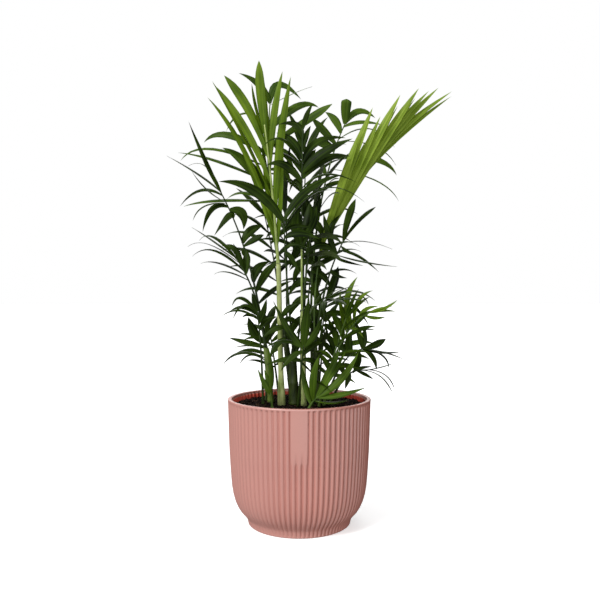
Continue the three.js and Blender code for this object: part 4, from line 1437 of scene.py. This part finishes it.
@dataclass(kw_only=True)
class GrownFrond(Frond):
    """A frond whose leaflets grow in pairs by rule, from a bare share of the stalk to its tip."""

    seed: int
    pairs: int = 6
    bare: float = 0.4
    blade: float = 60.0
    width: float = 8.0
    opening: Pair = (68.0, 22.0)
    droop: float = 0.9

    CLOSING_POWER = 1.3
    # Length of the blades from the first pair by way of the middle to the last.
    TAPER = ((0.0, 0.45, 1.0), (0.75, 1.0, 0.8))
    STAGGER = 0.2
    LAST_ROOT = 0.985
    LIFT = 14.0
    JITTER = 5.0
    RUFFLE = 16.0
    LENGTH_SPREAD = 0.08
    DROOP_SPREAD = 0.3
    FOLD_SPREAD = 0.3
    SWEEP_SPREAD = 0.035
    # Width of the first pair, and what the pairs gain on it up to halfway.
    FIRST_WIDTH = 0.8
    WIDTH_GAIN = 0.2
    END_WIDTH = 1.25
    END_DROOP = 0.5
    DETAIL_SEED = 500

    def leaflets(self) -> list[Leaflet]:
        """Places every leaflet by the part's own rule.

        Returns:
            The leaflets, from the lowest pair to the last.
        """
        random = SeededRandom(self.seed)
        detail = SeededRandom(self.seed + self.DETAIL_SEED)
        leaflets = []
        for rank in range(self.pairs):
            share = rank / (self.pairs - 1)
            is_last = rank == self.pairs - 1
            opening = self.opening[0] + (self.opening[1] - self.opening[0]) * share ** self.CLOSING_POWER
            length = self.blade * float(np.interp(share, *self.TAPER))
            grown = self.FIRST_WIDTH + self.WIDTH_GAIN * min(1, share * 2)
            width = self.width * grown * (self.END_WIDTH if is_last else 1)
            for side in (1, -1):
                turn, raised, stretch, bend = (random.draw() for _ in range(4))
                stagger = min(1.0, max(0.0, share + self.STAGGER / self.pairs * side))
                place = self.bare + (1 - self.bare) * (share if is_last else stagger * self.LAST_ROOT)
                point, along = self.at(place)
                upper = square_to(self.facing(), along)
                droop = self.droop * (1 + self.DROOP_SPREAD * bend) * (self.END_DROOP if is_last else 1)
                leaflets.append(GrownLeaflet(
                    root=point, upper=upper, along=along, outward=along.cross(upper) * side,
                    opening=opening + turn * self.JITTER,
                    lift=math.radians(self.LIFT + raised * self.RUFFLE),
                    length=length * (1 + self.LENGTH_SPREAD * stretch), width=width, droop=droop,
                    sweep=self.SWEEP_SPREAD * detail.draw(),
                    fold=self.fold * (1 + self.FOLD_SPREAD * detail.draw()), **self.blade_shape()))
        return leaflets


class Thicket:
    """Everything that a leaflet keeps clear of: canes, stalks and the fronds that stand already."""

    def __init__(self) -> None:
        """Starts empty."""
        self.standing: list[tuple[str, BVHTree, np.ndarray, np.ndarray]] = []

    def stand(self, points: np.ndarray, faces: Faces, owner: str) -> None:
        """Adds a shape, in metres, that belongs to a frond or a cane."""
        tree = BVHTree.FromPolygons(points.tolist(), faces)
        self.standing.append((owner, tree, points.min(axis=0), points.max(axis=0)))

    def is_clear(self, points: np.ndarray, faces: Faces, owner: str) -> bool:
        """Tells whether a shape cuts through nothing that belongs to others.

        Args:
            points: its points in metres.
            faces: its faces.
            owner: whose it is.

        Returns:
            True when it is clear.
        """
        low, high = points.min(axis=0), points.max(axis=0)
        tree = None
        for other, standing, other_low, other_high in self.standing:
            if other == owner or np.any(low > other_high) or np.any(high < other_low):
                continue
            tree = tree or BVHTree.FromPolygons(points.tolist(), faces)
            if tree.overlap(standing):
                return False
        return True


# Fronds whose leaflets are drawn one by one. Knees, tips and leaflet rows aren't typed by hand: a
# helper script worked them out in millimetres from where each leaflet was drawn in the level view,
# and chose how far each one swings forward or back.
DRAWN_FRONDS = [
    DrawnFrond(
        name="tall_light", knee=(-25, -20, 322), tip=(-33, -24, 383), cane="pale_cane", azimuth=-100,
        face=(-90, 5), tone=Tone.LIGHT, widest=0.5, point=2.6, root_width=0.18, girth=1.25, drawn=(
            (0.86, -36, -25, 406, -38, -27, 443, 8.7, 0, 0.68), (0.65, -25, -20, 387, -16, -18, 436, 7, 0),
            (0.29, -19, -23, 359, -8, -29, 427, 7.8, 0), (0.74, -47, -20, 396, -72, -18, 432, 8.7, 0, 0.66),
            (0.55, -50, -25, 377, -79, -30, 418, 6.9, 0), (0.45, -57, -14, 381, -85, -8, 430, 6.2, 50),
            (0.22, -52, -20, 358, -87, -24, 409, 6.2, 35), (0.7, -31, -20, 384, -34, -17, 430, 6.2, 45),
            (0.89, -40, -24, 395, -45, -25, 422, 6.2, 60), (0.1, -37, -12, 318, -58, -7, 370, 6.2, 15),
            (0.11, -19, -19, 298, -15, -23, 359, 6.2, 40), (0.16, -30, -14, 323, -36, -11, 372, 6.2, 35),
        )),
    DrawnFrond(
        name="right_fan", knee=(11, 4, 271), tip=(43, -4, 327), cane="near_right_cane", azimuth=95,
        # Its leaflets take the painted-lit green, which is brighter than their own light green.
        face=(-103, 12), tone=Tone.FRESH, widest=0.62, point=2.4, root_width=0.4, girth=0.8, fold=0.12,
        rod=Tone.MID, drawn=(
            (0.51, 37, -10, 318, 59, -14, 381, 7.3, 0), (0.53, 44, -8, 334, 71, -12, 403, 8.7, 0),
            (0.54, 41, -6, 318, 64, -9, 371, 6.2, 30), (0.55, 50, -5, 332, 79, -7, 396, 6.9, 0),
            (0.57, 60, -3, 346, 99, -4, 418, 8.9, 0), (0.57, 61, -1, 344, 97, -1, 408, 6.2, 35),
            (0.58, 70, 1, 354, 118, 1, 426, 8.9, 0), (0.58, 69, 2, 350, 115, 4, 417, 6.2, 30),
            (0.59, 70, 4, 355, 129, 6, 425, 7.5, 0), (0.61, 72, 6, 356, 139, 9, 429, 8.5, 0),
            (0.62, 73, 8, 358, 153, 11, 426, 7.1, 0), (0.64, 74, 10, 355, 153, 14, 422, 6.2, 10),
        )),
    DrawnFrond(
        name="left_arch", knee=(-45, -4, 264), tip=(-75, -20, 320), cane="left_cane", azimuth=120,
        face=(-90, 20), drawn=(
            (1, -89, -25, 349, -104, -30, 385, 6.2, 40), (1, -97, -12, 338, -131, -2, 359, 6.2, 50),
            (0.92, -87, -23, 321, -101, -30, 338, 6.2, 60), (0.97, -95, -17, 322, -115, -14, 307, 6.2, 30),
            (0.91, -91, -20, 306, -101, -23, 292, 6.2, 50), (0.88, -84, -13, 305, -94, -8, 283, 6.2, 0),
            (0.8, -68, -17, 297, -81, -22, 278, 7.2, 0), (0.86, -55, -14, 300, -54, -12, 285, 10.1, 0),
            (0.98, -88, -23, 343, -105, -28, 343, 6.2, 60),
            (0.62, -48, -7, 284, -35, -4, 290, 9.2, 0, 0.55),
            (0.6, -43, -10, 276, -34, -12, 280, 6.8, 0, 0.55), (0.59, -54, -7, 267, -59, -6, 264, 2.9, 0),
            (0.52, -54, -8, 264, -52, -9, 267, 4.9, 0), (0.37, -41, -1, 248, -29, 4, 255, 9.3, 0),
            (0.31, -31, -8, 245, -18, -15, 254, 8.3, 0), (0.24, -24, 1, 228, -7, 5, 236, 6.2, 20),
        )),
    DrawnFrond(
        name="left_comb", knee=(-38, -24, 225), tip=(-59, -30, 256), cane="left_cane", azimuth=-80,
        face=(-100, 25), drawn=(
            (1, -79, -37, 271, -99, -44, 284, 6.2, 55), (0.97, -80, -27, 276, -95, -24, 273, 6.2, 45),
            (0.93, -85, -33, 269, -104, -37, 266, 6.2, 60), (0.89, -61, -27, 265, -74, -25, 268, 6.1, 0),
            (0.82, -79, -33, 263, -99, -40, 257, 6.2, 45), (0.76, -76, -21, 252, -95, -15, 252, 6.2, 50),
            (0.7, -67, -28, 243, -80, -31, 241, 5.5, 55), (0.78, -50, -24, 253, -50, -21, 265, 7.6, 0, 0.6),
            (0.84, -56, -30, 258, -62, -32, 270, 4.2, 25),
        )),
    DrawnFrond(
        name="back_tall", knee=(-36, 16, 328), tip=(-29, 6, 414), cane="pale_cane", azimuth=80,
        face=(-85, 20), tone=Tone.MID, drawn=(
            (0.99, -40, 0, 429, -59, -7, 438, 8, 0), (0.99, -20, 9, 432, 2, 12, 418, 8.9, 0),
            (0.98, -6, 0, 420, 13, -7, 425, 6.2, 50), (0.83, -2, 15, 412, 20, 23, 413, 9, 0),
            (0.87, -55, 1, 401, -71, -8, 381, 6.2, 35), (0.69, -72, 14, 383, -97, 21, 377, 8.5, 0),
            (0.61, -86, -3, 365, -114, -17, 350, 6.2, 30), (0.52, -84, 14, 357, -124, 22, 367, 6.2, 30),
            (0.46, -53, -1, 352, -75, -8, 365, 11.9, 0), (0.4, -83, 9, 316, -117, 15, 311, 6.2, 30),
            (0.38, -52, -2, 322, -70, -10, 315, 6.2, 30), (0.78, -16, 11, 365, -5, 13, 348, 7, 0),
            (0.6, -15, 4, 344, -9, -1, 329, 6, 0), (0.47, -14, 8, 336, 3, 10, 325, 6, 50),
            (0.74, 4, -2, 391, 32, -14, 406, 8.8, 0, 0.72),
        )),
    DrawnFrond(
        name="centre", knee=(2, -20, 284), tip=(3, -30, 378), cane="centre_cane", azimuth=120,
        face=(-95, 20), girth=0.9, rod_share=0.36, rod=Tone.LIGHT, drawn=(
            (0.99, 7, -32, 390, 13, -35, 400, 5.1, 0), (0.89, 6, -27, 371, 11, -25, 382, 6, 0),
            (0.95, -3, -31, 381, -19, -33, 381, 7.3, 0), (0.85, -8, -23, 368, -22, -18, 377, 9.5, 0),
            (0.82, -16, -33, 367, -35, -40, 357, 6.2, 30), (0.79, -17, -22, 357, -40, -16, 354, 6.2, 30),
            (0.73, -14, -29, 344, -31, -35, 342, 8.5, 0), (0.83, 18, -21, 368, 45, -14, 373, 8.1, 0),
            (0.78, 22, -29, 355, 50, -32, 368, 10.6, 0), (0.75, 24, -21, 351, 49, -16, 355, 9.6, 0),
            (0.7, 25, -29, 335, 54, -35, 326, 6.2, 40), (0.76, 9, -23, 350, 16, -20, 361, 8, 0),
            (0.39, -3, -25, 287, 0, -30, 306, 11.4, 0, 0.6), (0.4, 9, -15, 290, 10, -9, 312, 12.4, 0, 0.6),
            (0.44, 13, -24, 289, 16, -27, 306, 7.4, 0), (0.67, -3, -21, 331, -10, -18, 319, 4.7, 0),
        )),
    DrawnFrond(
        name="front_vee", knee=(-12, -32, 226), tip=(-14, -50, 289), cane="sheathed_cane", azimuth=-60,
        face=(-90, 25), drawn=(
            (0.99, -40, -58, 315, -71, -69, 321, 10.9, 0), (1, 8, -45, 318, 41, -39, 333, 8.2, 0),
            (0.96, 20, -60, 316, 57, -75, 302, 6.2, 45), (0.94, 9, -40, 311, 32, -31, 320, 6.2, 45),
            (0.88, 1, -47, 278, 19, -50, 272, 7.8, 0), (0.92, -3, -44, 285, 12, -40, 283, 4.6, 0),
            (0.81, -3, -45, 268, 9, -47, 263, 4.1, 0), (0.78, -7, -40, 255, 1, -38, 240, 5.1, 0),
        )),
    DrawnFrond(
        name="right_tall", knee=(12, 18, 323), tip=(47, 10, 396), cane="right_cane", azimuth=175,
        face=(-95, 20), tone=Tone.MID, drawn=(
            (0.98, 46, 7, 404, 47, 3, 416, 10.6, 0, 0.9), (0.98, 60, 14, 407, 77, 18, 401, 8, 0),
            (0.96, 61, 7, 394, 83, 3, 390, 6.2, 15), (0.88, 71, 17, 390, 98, 24, 372, 6.2, 45),
            (0.87, 76, 6, 372, 98, -2, 353, 6.2, 50), (0.77, 77, 20, 360, 100, 28, 345, 7.5, 0),
            (0.71, 76, 3, 337, 99, -10, 315, 6.2, 50), (0.92, 36, 14, 398, 26, 17, 407, 8, 0, 0.5),
            (0.85, 23, 7, 387, 12, 2, 397, 8.5, 0, 0.5), (0.81, 23, 14, 375, 9, 16, 375, 10, 0),
            (0.62, 37, 12, 335, 49, 10, 336, 4, 0), (0.61, 17, 16, 325, 8, 19, 319, 5, 0),
            (0.42, 17, 12, 303, 23, 10, 315, 8.1, 0), (0.67, 23, 16, 353, 20, 19, 368, 5.5, 0),
        )),
    DrawnFrond(
        name="right_mid", knee=(22, -12, 236), tip=(43, -20, 275), cane="near_right_cane", azimuth=-70,
        face=(-85, 25), drawn=(
            (0.98, 46, -25, 293, 53, -30, 312, 7.1, 0, 0.7),
            (0.97, 56, -17, 292, 74, -13, 307, 6.2, 35, 0.78), (0.95, 63, -25, 272, 88, -33, 264, 6.2, 55),
            (0.87, 57, -15, 259, 77, -11, 244, 6.2, 30), (0.82, 61, -24, 253, 92, -33, 248, 6.2, 45),
            (0.79, 45, -15, 254, 62, -13, 250, 4.6, 20), (0.83, 28, -20, 280, 23, -23, 299, 6.3, 0, 0.55),
            (0.78, 30, -13, 282, 40, -9, 300, 6.2, 10, 0.55), (0.83, 20, -20, 269, 2, -22, 257, 7.7, 0),
            (0.79, 22, -15, 253, 11, -12, 245, 5.8, 0), (0.67, 35, -16, 241, 46, -18, 238, 4.8, 0),
            (0.92, 47, -18, 263, 56, -17, 260, 3.8, 0),
        )),
    DrawnFrond(
        name="right_young", knee=(33, -20, 188), tip=(66, -26, 205), ground=(23.7, -16), face=(-85, 25),
        tone=Tone.LIGHT, rod=Tone.MID, drawn=(
            (1, 80, -28, 209, 92, -30, 217, 4.7, 25), (1, 79, -25, 207, 92, -24, 206, 4.2, 25),
            (0.97, 76, -27, 209, 88, -29, 211, 4.1, 35), (0.93, 72, -24, 200, 82, -23, 201, 3.6, 0),
            (0.75, 45, -25, 216, 55, -27, 239, 6.2, 25, 0.62),
            (0.77, 56, -22, 216, 70, -21, 226, 6, 40, 0.62), (0.64, 40, -23, 207, 39, -24, 226, 6.1, 35),
            (0.7, 44, -21, 205, 36, -19, 214, 5.1, 0), (0.69, 54, -24, 189, 61, -25, 181, 4, 0),
            (0.85, 63, -23, 208, 76, -21, 211, 4.2, 0),
        )),
    DrawnFrond(
        name="right_low", knee=(41, 10, 165), tip=(64, 2, 169), ground=(26.8, 12), face=(-95, 30), drawn=(
            (1, 75, 0, 173, 85, -3, 179, 7.9, 0, 0.6), (0.98, 64, 5, 179, 66, 8, 190, 7.4, 0),
            (0.96, 59, 0, 184, 54, -4, 197, 5.9, 0), (0.98, 81, 6, 165, 102, 11, 165, 6.1, 35),
            (0.96, 85, -2, 165, 102, -9, 159, 6.2, 50), (0.97, 73, 5, 160, 77, 9, 147, 5.4, 0),
            (0.92, 81, 0, 163, 88, -3, 149, 6, 50), (0.88, 58, 7, 154, 53, 11, 143, 6.9, 0),
            (0.74, 49, 4, 175, 53, 2, 188, 7.9, 0), (0.67, 41, 9, 172, 33, 12, 177, 7, 0),
        )),
    DrawnFrond(
        name="right_droop", knee=(44, -8, 148), tip=(56, -14, 149), ground=(30.1, -2), face=(-85, 30),
        drawn=(
            (1, 76, -17, 145, 89, -21, 128, 6.2, 55, 0.75), (1, 80, -11, 146, 93, -8, 129, 6.2, 60, 0.75),
            (0.92, 72, -17, 151, 91, -21, 157, 6.2, 60, 0.7), (0.96, 64, -12, 145, 72, -9, 140, 3.9, 0),
            (0.73, 47, -12, 140, 44, -14, 131, 5.3, 0), (0.8, 60, -9, 151, 71, -6, 152, 3.9, 0),
            (0.59, 39, -11, 153, 32, -14, 159, 5.8, 0),
        )),
    DrawnFrond(
        name="front_young", knee=(11, -33, 121), tip=(17, -36, 127), ground=(9.1, -32), face=(-90, 30),
        tone=Tone.MID, drawn=(
            (0.96, 38, -37, 129, 62, -38, 136, 6.2, 10), (0.7, 31, -33, 121, 47, -32, 124, 5.2, 40),
            (1, 39, -37, 144, 55, -38, 169, 7.6, 0), (0.92, 28, -35, 150, 38, -34, 171, 7.6, 0),
            (0.66, 13, -36, 146, 19, -38, 168, 7.1, 0), (0.36, 6, -31, 136, 1, -29, 160, 6.2, 15),
            (0.84, 32, -36, 150, 44, -37, 172, 6.2, 35),
        )),
    DrawnFrond(
        name="left_shoot", knee=(-26, -30, 123), tip=(-27, -32, 130), ground=(-25.5, -28), face=(-90, 15),
        tone=Tone.MID, drawn=(
            (0.93, -32, -33, 138, -39, -34, 153, 5.6, 0), (0.92, -29, -31, 140, -33, -30, 152, 5.1, 0),
            (1, -26, -34, 150, -29, -36, 174, 6.2, 35),
        )),
    DrawnFrond(
        name="left_low", knee=(-36, -14, 174), tip=(-40, -22, 206), ground=(-35.3, -8), face=(-95, 30),
        drawn=(
            (1, -42, -23, 214, -45, -25, 224, 6.2, 0), (1, -56, -19, 219, -65, -14, 210, 5.3, 25),
            (0.97, -53, -23, 212, -63, -26, 198, 5.4, 30), (0.94, -53, -19, 210, -67, -16, 206, 4.8, 0),
            (0.88, -57, -24, 207, -74, -29, 201, 6.2, 40), (0.9, -48, -19, 203, -55, -18, 200, 3.8, 0),
            (0.83, -34, -22, 206, -31, -25, 218, 6.2, 0), (0.75, -31, -16, 197, -21, -13, 201, 6.2, 0),
        )),
    DrawnFrond(
        name="left_low_far", knee=(-32, 16, 156), tip=(-36, 14, 177), ground=(-33.5, 14), face=(-90, 30),
        drawn=(
            (0.93, -45, 13, 184, -51, 10, 200, 9.6, 0, 0.6), (0.84, -53, 17, 174, -72, 19, 179, 6.5, 0),
            (1, -44, 12, 180, -56, 9, 177, 4.5, 0), (0.8, -50, 18, 171, -68, 23, 168, 5.4, 40),
            (0.62, -59, 10, 164, -76, 4, 152, 6.2, 35), (0.7, -50, 18, 167, -66, 23, 162, 5.1, 30),
            (0.57, -49, 12, 162, -60, 8, 152, 5.2, 40), (0.88, -30, 17, 182, -21, 21, 188, 7.6, 0),
            (0.98, -32, 11, 192, -37, 8, 206, 6, 0),
        )),
    DrawnFrond(
        name="front_mid", knee=(1, -38, 148), tip=(4, -46, 175), ground=(-1.2, -24), face=(-90, 25), drawn=(
            (0.98, 6, -49, 197, 9, -53, 219, 8.7, 0), (0.95, -13, -41, 179, -31, -37, 173, 5.9, 30),
            (0.9, -7, -47, 165, -17, -50, 152, 6, 0), (0.97, -9, -42, 188, -24, -39, 216, 7.1, 0),
            (0.98, 15, -48, 187, 21, -51, 203, 6.4, 0), (0.83, 13, -39, 175, 27, -35, 179, 6, 0),
            (0.73, -11, -45, 163, -30, -50, 158, 5.5, 0), (0.76, 13, -39, 160, 22, -35, 150, 5.5, 0),
        )),
    DrawnFrond(
        name="front_left", knee=(-13, -30, 185), tip=(-16, -36, 201), cane="sheathed_cane", azimuth=-170,
        face=(-90, 30), drawn=(
            (1, -10, -38, 209, -1, -40, 214, 6, 0), (0.86, -8, -31, 199, 1, -28, 193, 6.5, 0),
            (0.71, -23, -32, 190, -34, -34, 182, 6.6, 0), (0.57, -7, -26, 181, -2, -24, 170, 6.1, 0),
            (0.48, -22, -29, 174, -27, -32, 163, 6.1, 0),
        )),
    DrawnFrond(
        name="top_mid", knee=(7, 20, 245), tip=(9, 10, 296), cane="far_right_cane", azimuth=-90,
        face=(-85, 25), drawn=(
            (0.99, 6, 8, 310, 8, 6, 328, 9, 0), (0.98, 19, 14, 291, 25, 19, 275, 9, 0),
            (0.95, -5, 9, 293, -16, 6, 283, 9, 0), (0.89, -1, 15, 275, -6, 18, 258, 9, 0),
            (0.85, 21, 11, 275, 29, 8, 259, 9, 0), (0.77, -3, 17, 266, -10, 20, 249, 8.1, 0),
            (0.71, 17, 13, 256, 20, 10, 238, 8.1, 0), (0.62, -2, 21, 247, -6, 25, 233, 7.1, 0),
            (0.55, 16, 16, 236, 17, 12, 221, 7.1, 0), (0.99, 17, 12, 309, 20, 14, 326, 8, 0),
        )),
    DrawnFrond(
        name="right_arc", knee=(19, 4, 167), tip=(27, 8, 217), ground=(16.5, 0), face=(-90, 30), drawn=(
            (1, 52, 5, 226, 75, 0, 216, 6.2, 35), (0.97, 57, 11, 222, 70, 16, 211, 6.2, 40),
            (0.92, 48, 3, 214, 69, -2, 191, 6.2, 15), (1, 34, 10, 233, 39, 12, 251, 8.5, 0, 0.6),
            (0.95, 16, 4, 225, 20, -1, 242, 7.5, 0), (0.85, 39, 10, 204, 54, 15, 196, 7, 0),
            (0.82, 10, 5, 209, 0, 2, 205, 7, 0), (0.75, 34, 8, 187, 42, 9, 173, 7, 0),
            (0.72, 7, 4, 192, -3, 1, 183, 7, 0), (0.65, 32, 9, 176, 34, 13, 161, 6.9, 0),
            (0.6, 9, 3, 174, 1, 1, 164, 6.9, 0),
        )),
    DrawnFrond(
        name="mid_low", knee=(4, 8, 187), tip=(13, 2, 255), ground=(5, 5), face=(-90, 30), drawn=(
            (1, 19, 0, 243, 17, -3, 225, 7.9, 0), (0.98, 1, 5, 255, -10, 8, 246, 6.9, 0),
            (0.93, 23, 0, 241, 31, -4, 228, 7.9, 0), (0.87, -2, 5, 234, -11, 8, 220, 7.4, 0),
            (0.81, 18, 1, 221, 22, -2, 205, 7.9, 0), (0.75, -3, 7, 214, -10, 10, 199, 7.9, 0),
            (0.69, 16, 1, 200, 17, -3, 182, 7.9, 0), (0.61, -5, 9, 192, -11, 13, 174, 7.9, 0),
            (1, 10, -2, 266, 11, -6, 280, 6.4, 0), (0.51, 15, 10, 176, 19, 15, 159, 7.5, 0),
            (0.45, -4, 3, 169, -6, 0, 153, 7.5, 0),
        )),
]

# What the young fronds share, and the young fronds at the back.
YOUNG = dict(width=6.5, opening=(70, 22), droop=0.8)
YOUNG_BACK = YOUNG | dict(width=7, bare=0.35, pairs=5, blade=42)

# Fronds whose leaflets grow by rule.
GROWN_FRONDS = [
    GrownFrond(
        name="front_right", knee=(18, -34, 217), tip=(30, -46, 217), cane="centre_cane", azimuth=-50,
        seed=61, bare=0.35, pairs=5, blade=42, face=(-80, 60), **YOUNG),
    GrownFrond(
        name="low_mid", knee=(12, -34, 152), tip=(21, -50, 176), seed=62, ground=(13, -22), bare=0.35,
        blade=38, face=(-100, 60), **YOUNG),
    GrownFrond(
        name="low_right", knee=(37, 28, 155), tip=(50, 30, 186), seed=63, ground=(22.1, 22), bare=0.3,
        blade=38, face=(-60, 40), tone=Tone.MID, **YOUNG),
    GrownFrond(
        name="back_left", knee=(-23, 54, 249), tip=(-39, 84, 312), cane="far_left_cane", azimuth=150,
        seed=67, bare=0.3, blade=64, droop=1.1, face=(-90, 60)),
    GrownFrond(
        name="back_mid", knee=(4, 52, 281), tip=(7, 76, 377), cane="far_right_cane", azimuth=90, seed=71,
        bare=0.35, pairs=7, blade=66, droop=1.1, face=(-90, 60)),
    GrownFrond(
        name="back_right", knee=(20, 42, 244), tip=(26, 80, 290), cane="right_cane", azimuth=20, seed=73,
        bare=0.3, blade=50, droop=1.1, face=(-110, 60)),
    GrownFrond(
        name="side_left", knee=(-13, 24, 278), tip=(-14, 44, 343), cane="far_left_cane", azimuth=-30,
        seed=83, blade=62, opening=(66, 25), face=(180, 25)),
    GrownFrond(
        name="side_right", knee=(9, -4, 266), tip=(18, -6, 324), cane="sheathed_cane", azimuth=20, seed=89,
        bare=0.45, width=7.5, opening=(66, 25), face=(15, 25)),
    GrownFrond(
        name="side_low", knee=(30, -31, 160), tip=(43, -41, 200), seed=97, ground=(18.6, -23.5), pairs=5,
        blade=40, width=5.5, opening=(60, 22), face=(-50, 30), tone=Tone.MID),
    GrownFrond(
        name="back_low_left", knee=(-27, 46, 164), tip=(-34, 70, 190), seed=101, ground=(-20.7, 22),
        face=(-80, 60), **YOUNG_BACK),
    GrownFrond(
        name="back_low_right", knee=(24, 52, 164), tip=(29, 74, 193), seed=103, ground=(19.4, 34),
        face=(-100, 60), **YOUNG_BACK),
]


# ---------------------------------------------------------------- studio


@dataclass(frozen=True)
class Lamp:
    """A far, soft lamp: where its light comes from, its strength, and its softness, angles in degrees."""

    name: str
    azimuth: float
    elevation: float
    strength: float
    softness: float
    shine: float

    def build(self, scene: bpy.types.Scene) -> None:
        """Adds the lamp.

        Args:
            scene: the scene to light.
        """
        lamp = bpy.data.lights.new(self.name, "SUN")
        lamp.energy = self.strength
        lamp.specular_factor = self.shine
        lamp.angle = math.radians(self.softness)
        placed = bpy.data.objects.new(self.name, lamp)
        turn, rise = math.radians(self.azimuth), math.radians(self.elevation)
        source = Vector((math.sin(turn) * math.cos(rise), -math.cos(turn) * math.cos(rise), math.sin(rise)))
        placed.rotation_euler = source.to_track_quat("Z", "Y").to_euler()
        scene.collection.objects.link(placed)


@dataclass
class Studio:
    """Pale floor, soft light from the left and the front, and a level camera before the plain band."""

    camera_place: Triple = (0.0007, -0.641, 0.217)
    focal_pixels: float = 651.0
    frame_pixels: float = 600.0
    sensor: float = 36.0
    near_clip: float = 0.01
    lamps: tuple[Lamp, ...] = (
        Lamp("key_light", -42.0, 38.0, 2.0, 14.0, shine=1.0),
        Lamp("side_light", 20.0, 18.0, 0.9, 40.0, shine=0.2),
        Lamp("back_light", -178.0, 34.0, 1.5, 50.0, shine=0.0),
    )
    sky_from: Triple = (-0.64, -0.75, 0.15)
    sky_span: Pair = (-0.3, 0.15)
    sky_strengths: Pair = (0.04, 0.7)
    floor_grey: float = 0.8
    floor_glow: float = 0.49
    floor_radius: float = 30.0
    floor_columns: int = 96
    floor_height: float = -0.0002

    def build(self, wardrobe: Wardrobe) -> None:
        """Makes floor, surround, lamps and camera.

        Args:
            wardrobe: where materials come from.
        """
        scene = bpy.context.scene
        scene.view_settings.view_transform = "Standard"
        self.floor(wardrobe)
        self.sky(scene)
        for lamp in self.lamps:
            lamp.build(scene)
        self.camera(scene)

    def floor(self, wardrobe: Wardrobe) -> None:
        """Adds the floor, which lights nothing but takes the shadow.

        Args:
            wardrobe: where materials come from.
        """
        bpy.ops.object.select_all(action="DESELECT")
        bpy.ops.mesh.primitive_circle_add(
            vertices=self.floor_columns, radius=self.floor_radius, fill_type="NGON",
            location=(0.0, 0.0, self.floor_height))
        floor = bpy.context.object
        floor.name = "studio_floor"
        finish = PlainFinish("studio_floor", self.floor_grey, self.floor_glow)
        floor.data.materials.append(wardrobe.of(finish))
        floor.visible_diffuse = False
        floor.visible_glossy = False
        floor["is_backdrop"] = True

    def camera(self, scene: bpy.types.Scene) -> None:
        """Adds the level camera.

        Args:
            scene: the scene to look at.
        """
        lens = bpy.data.cameras.new("level_camera")
        lens.sensor_width = self.sensor
        lens.lens = self.focal_pixels / self.frame_pixels * self.sensor
        lens.dof.use_dof = False
        lens.clip_start = self.near_clip
        camera = bpy.data.objects.new("level_camera", lens)
        camera.location = self.camera_place
        camera.rotation_euler = (math.radians(90.0), 0.0, 0.0)
        scene.collection.objects.link(camera)
        scene.camera = camera

    def sky(self, scene: bpy.types.Scene) -> None:
        """Gives the studio a white surround that lights most from the left and the front.

        Args:
            scene: the scene to light.
        """
        world = bpy.data.worlds.new("studio_surround")
        world.use_nodes = True
        nodes, links = world.node_tree.nodes, world.node_tree.links
        background = nodes["Background"]
        background.inputs["Color"].default_value = (*WHITE, 1.0)
        place = nodes.new("ShaderNodeTexCoord")
        towards = nodes.new("ShaderNodeVectorMath")
        towards.operation = "DOT_PRODUCT"
        towards.inputs[1].default_value = self.sky_from
        span = nodes.new("ShaderNodeMapRange")
        limits = (*self.sky_span, *self.sky_strengths)
        for name, value in zip(("From Min", "From Max", "To Min", "To Max"), limits):
            span.inputs[name].default_value = value
        links.new(place.outputs["Generated"], towards.inputs[0])
        links.new(towards.outputs["Value"], span.inputs["Value"])
        links.new(span.outputs["Result"], background.inputs["Strength"])
        seen = nodes.new("ShaderNodeBackground")
        seen.inputs["Color"].default_value = (*WHITE, 1.0)
        path = nodes.new("ShaderNodeLightPath")
        mixer = nodes.new("ShaderNodeMixShader")
        links.new(path.outputs["Is Camera Ray"], mixer.inputs[0])
        links.new(background.outputs[0], mixer.inputs[1])
        links.new(seen.outputs[0], mixer.inputs[2])
        links.new(mixer.outputs[0], nodes["World Output"].inputs["Surface"])
        scene.world = world


# ---------------------------------------------------------------- assembly


def triangles(piece: Piece) -> int:
    """Counts a piece's triangles."""
    return sum(len(polygon.vertices) - 2 for polygon in piece.data.polygons)


def corners() -> list[list[float]]:
    """Gives the lowest and highest corner of what is shown, as plain numbers."""
    return [[float(value) for value in corner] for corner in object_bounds()]


def main() -> None:
    """Builds the pot, its filling, the canes, the fronds and the studio, in that order."""
    logging.basicConfig(level=logging.INFO, format="%(name)s: %(message)s")
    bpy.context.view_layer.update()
    wardrobe = Wardrobe()
    pieces = [Pot().dress(wardrobe)]
    pieces += PottingMix().dress(wardrobe, CANES)
    thicket = Thicket()
    for cane in CANES:
        made = cane.dress(wardrobe)
        places = np.array([vertex.co[:] for vertex in made.data.vertices])
        thicket.stand(places, [list(polygon.vertices) for polygon in made.data.polygons], cane.name)
        pieces.append(made)
    fronds = [*DRAWN_FRONDS, *GROWN_FRONDS]
    for frond in fronds:
        points, faces, _ = frond.stalk()
        thicket.stand(points, faces, frond.name)
    for frond in fronds:
        pieces += frond.dress(wardrobe, thicket)
    for piece in pieces:
        log.info("%s, %d triangles", piece.name, triangles(piece))
    log.info("%d pieces, %d triangles in all", len(pieces), sum(map(triangles, pieces)))
    Studio().build(wardrobe)


if __name__ == "__main__":
    main()
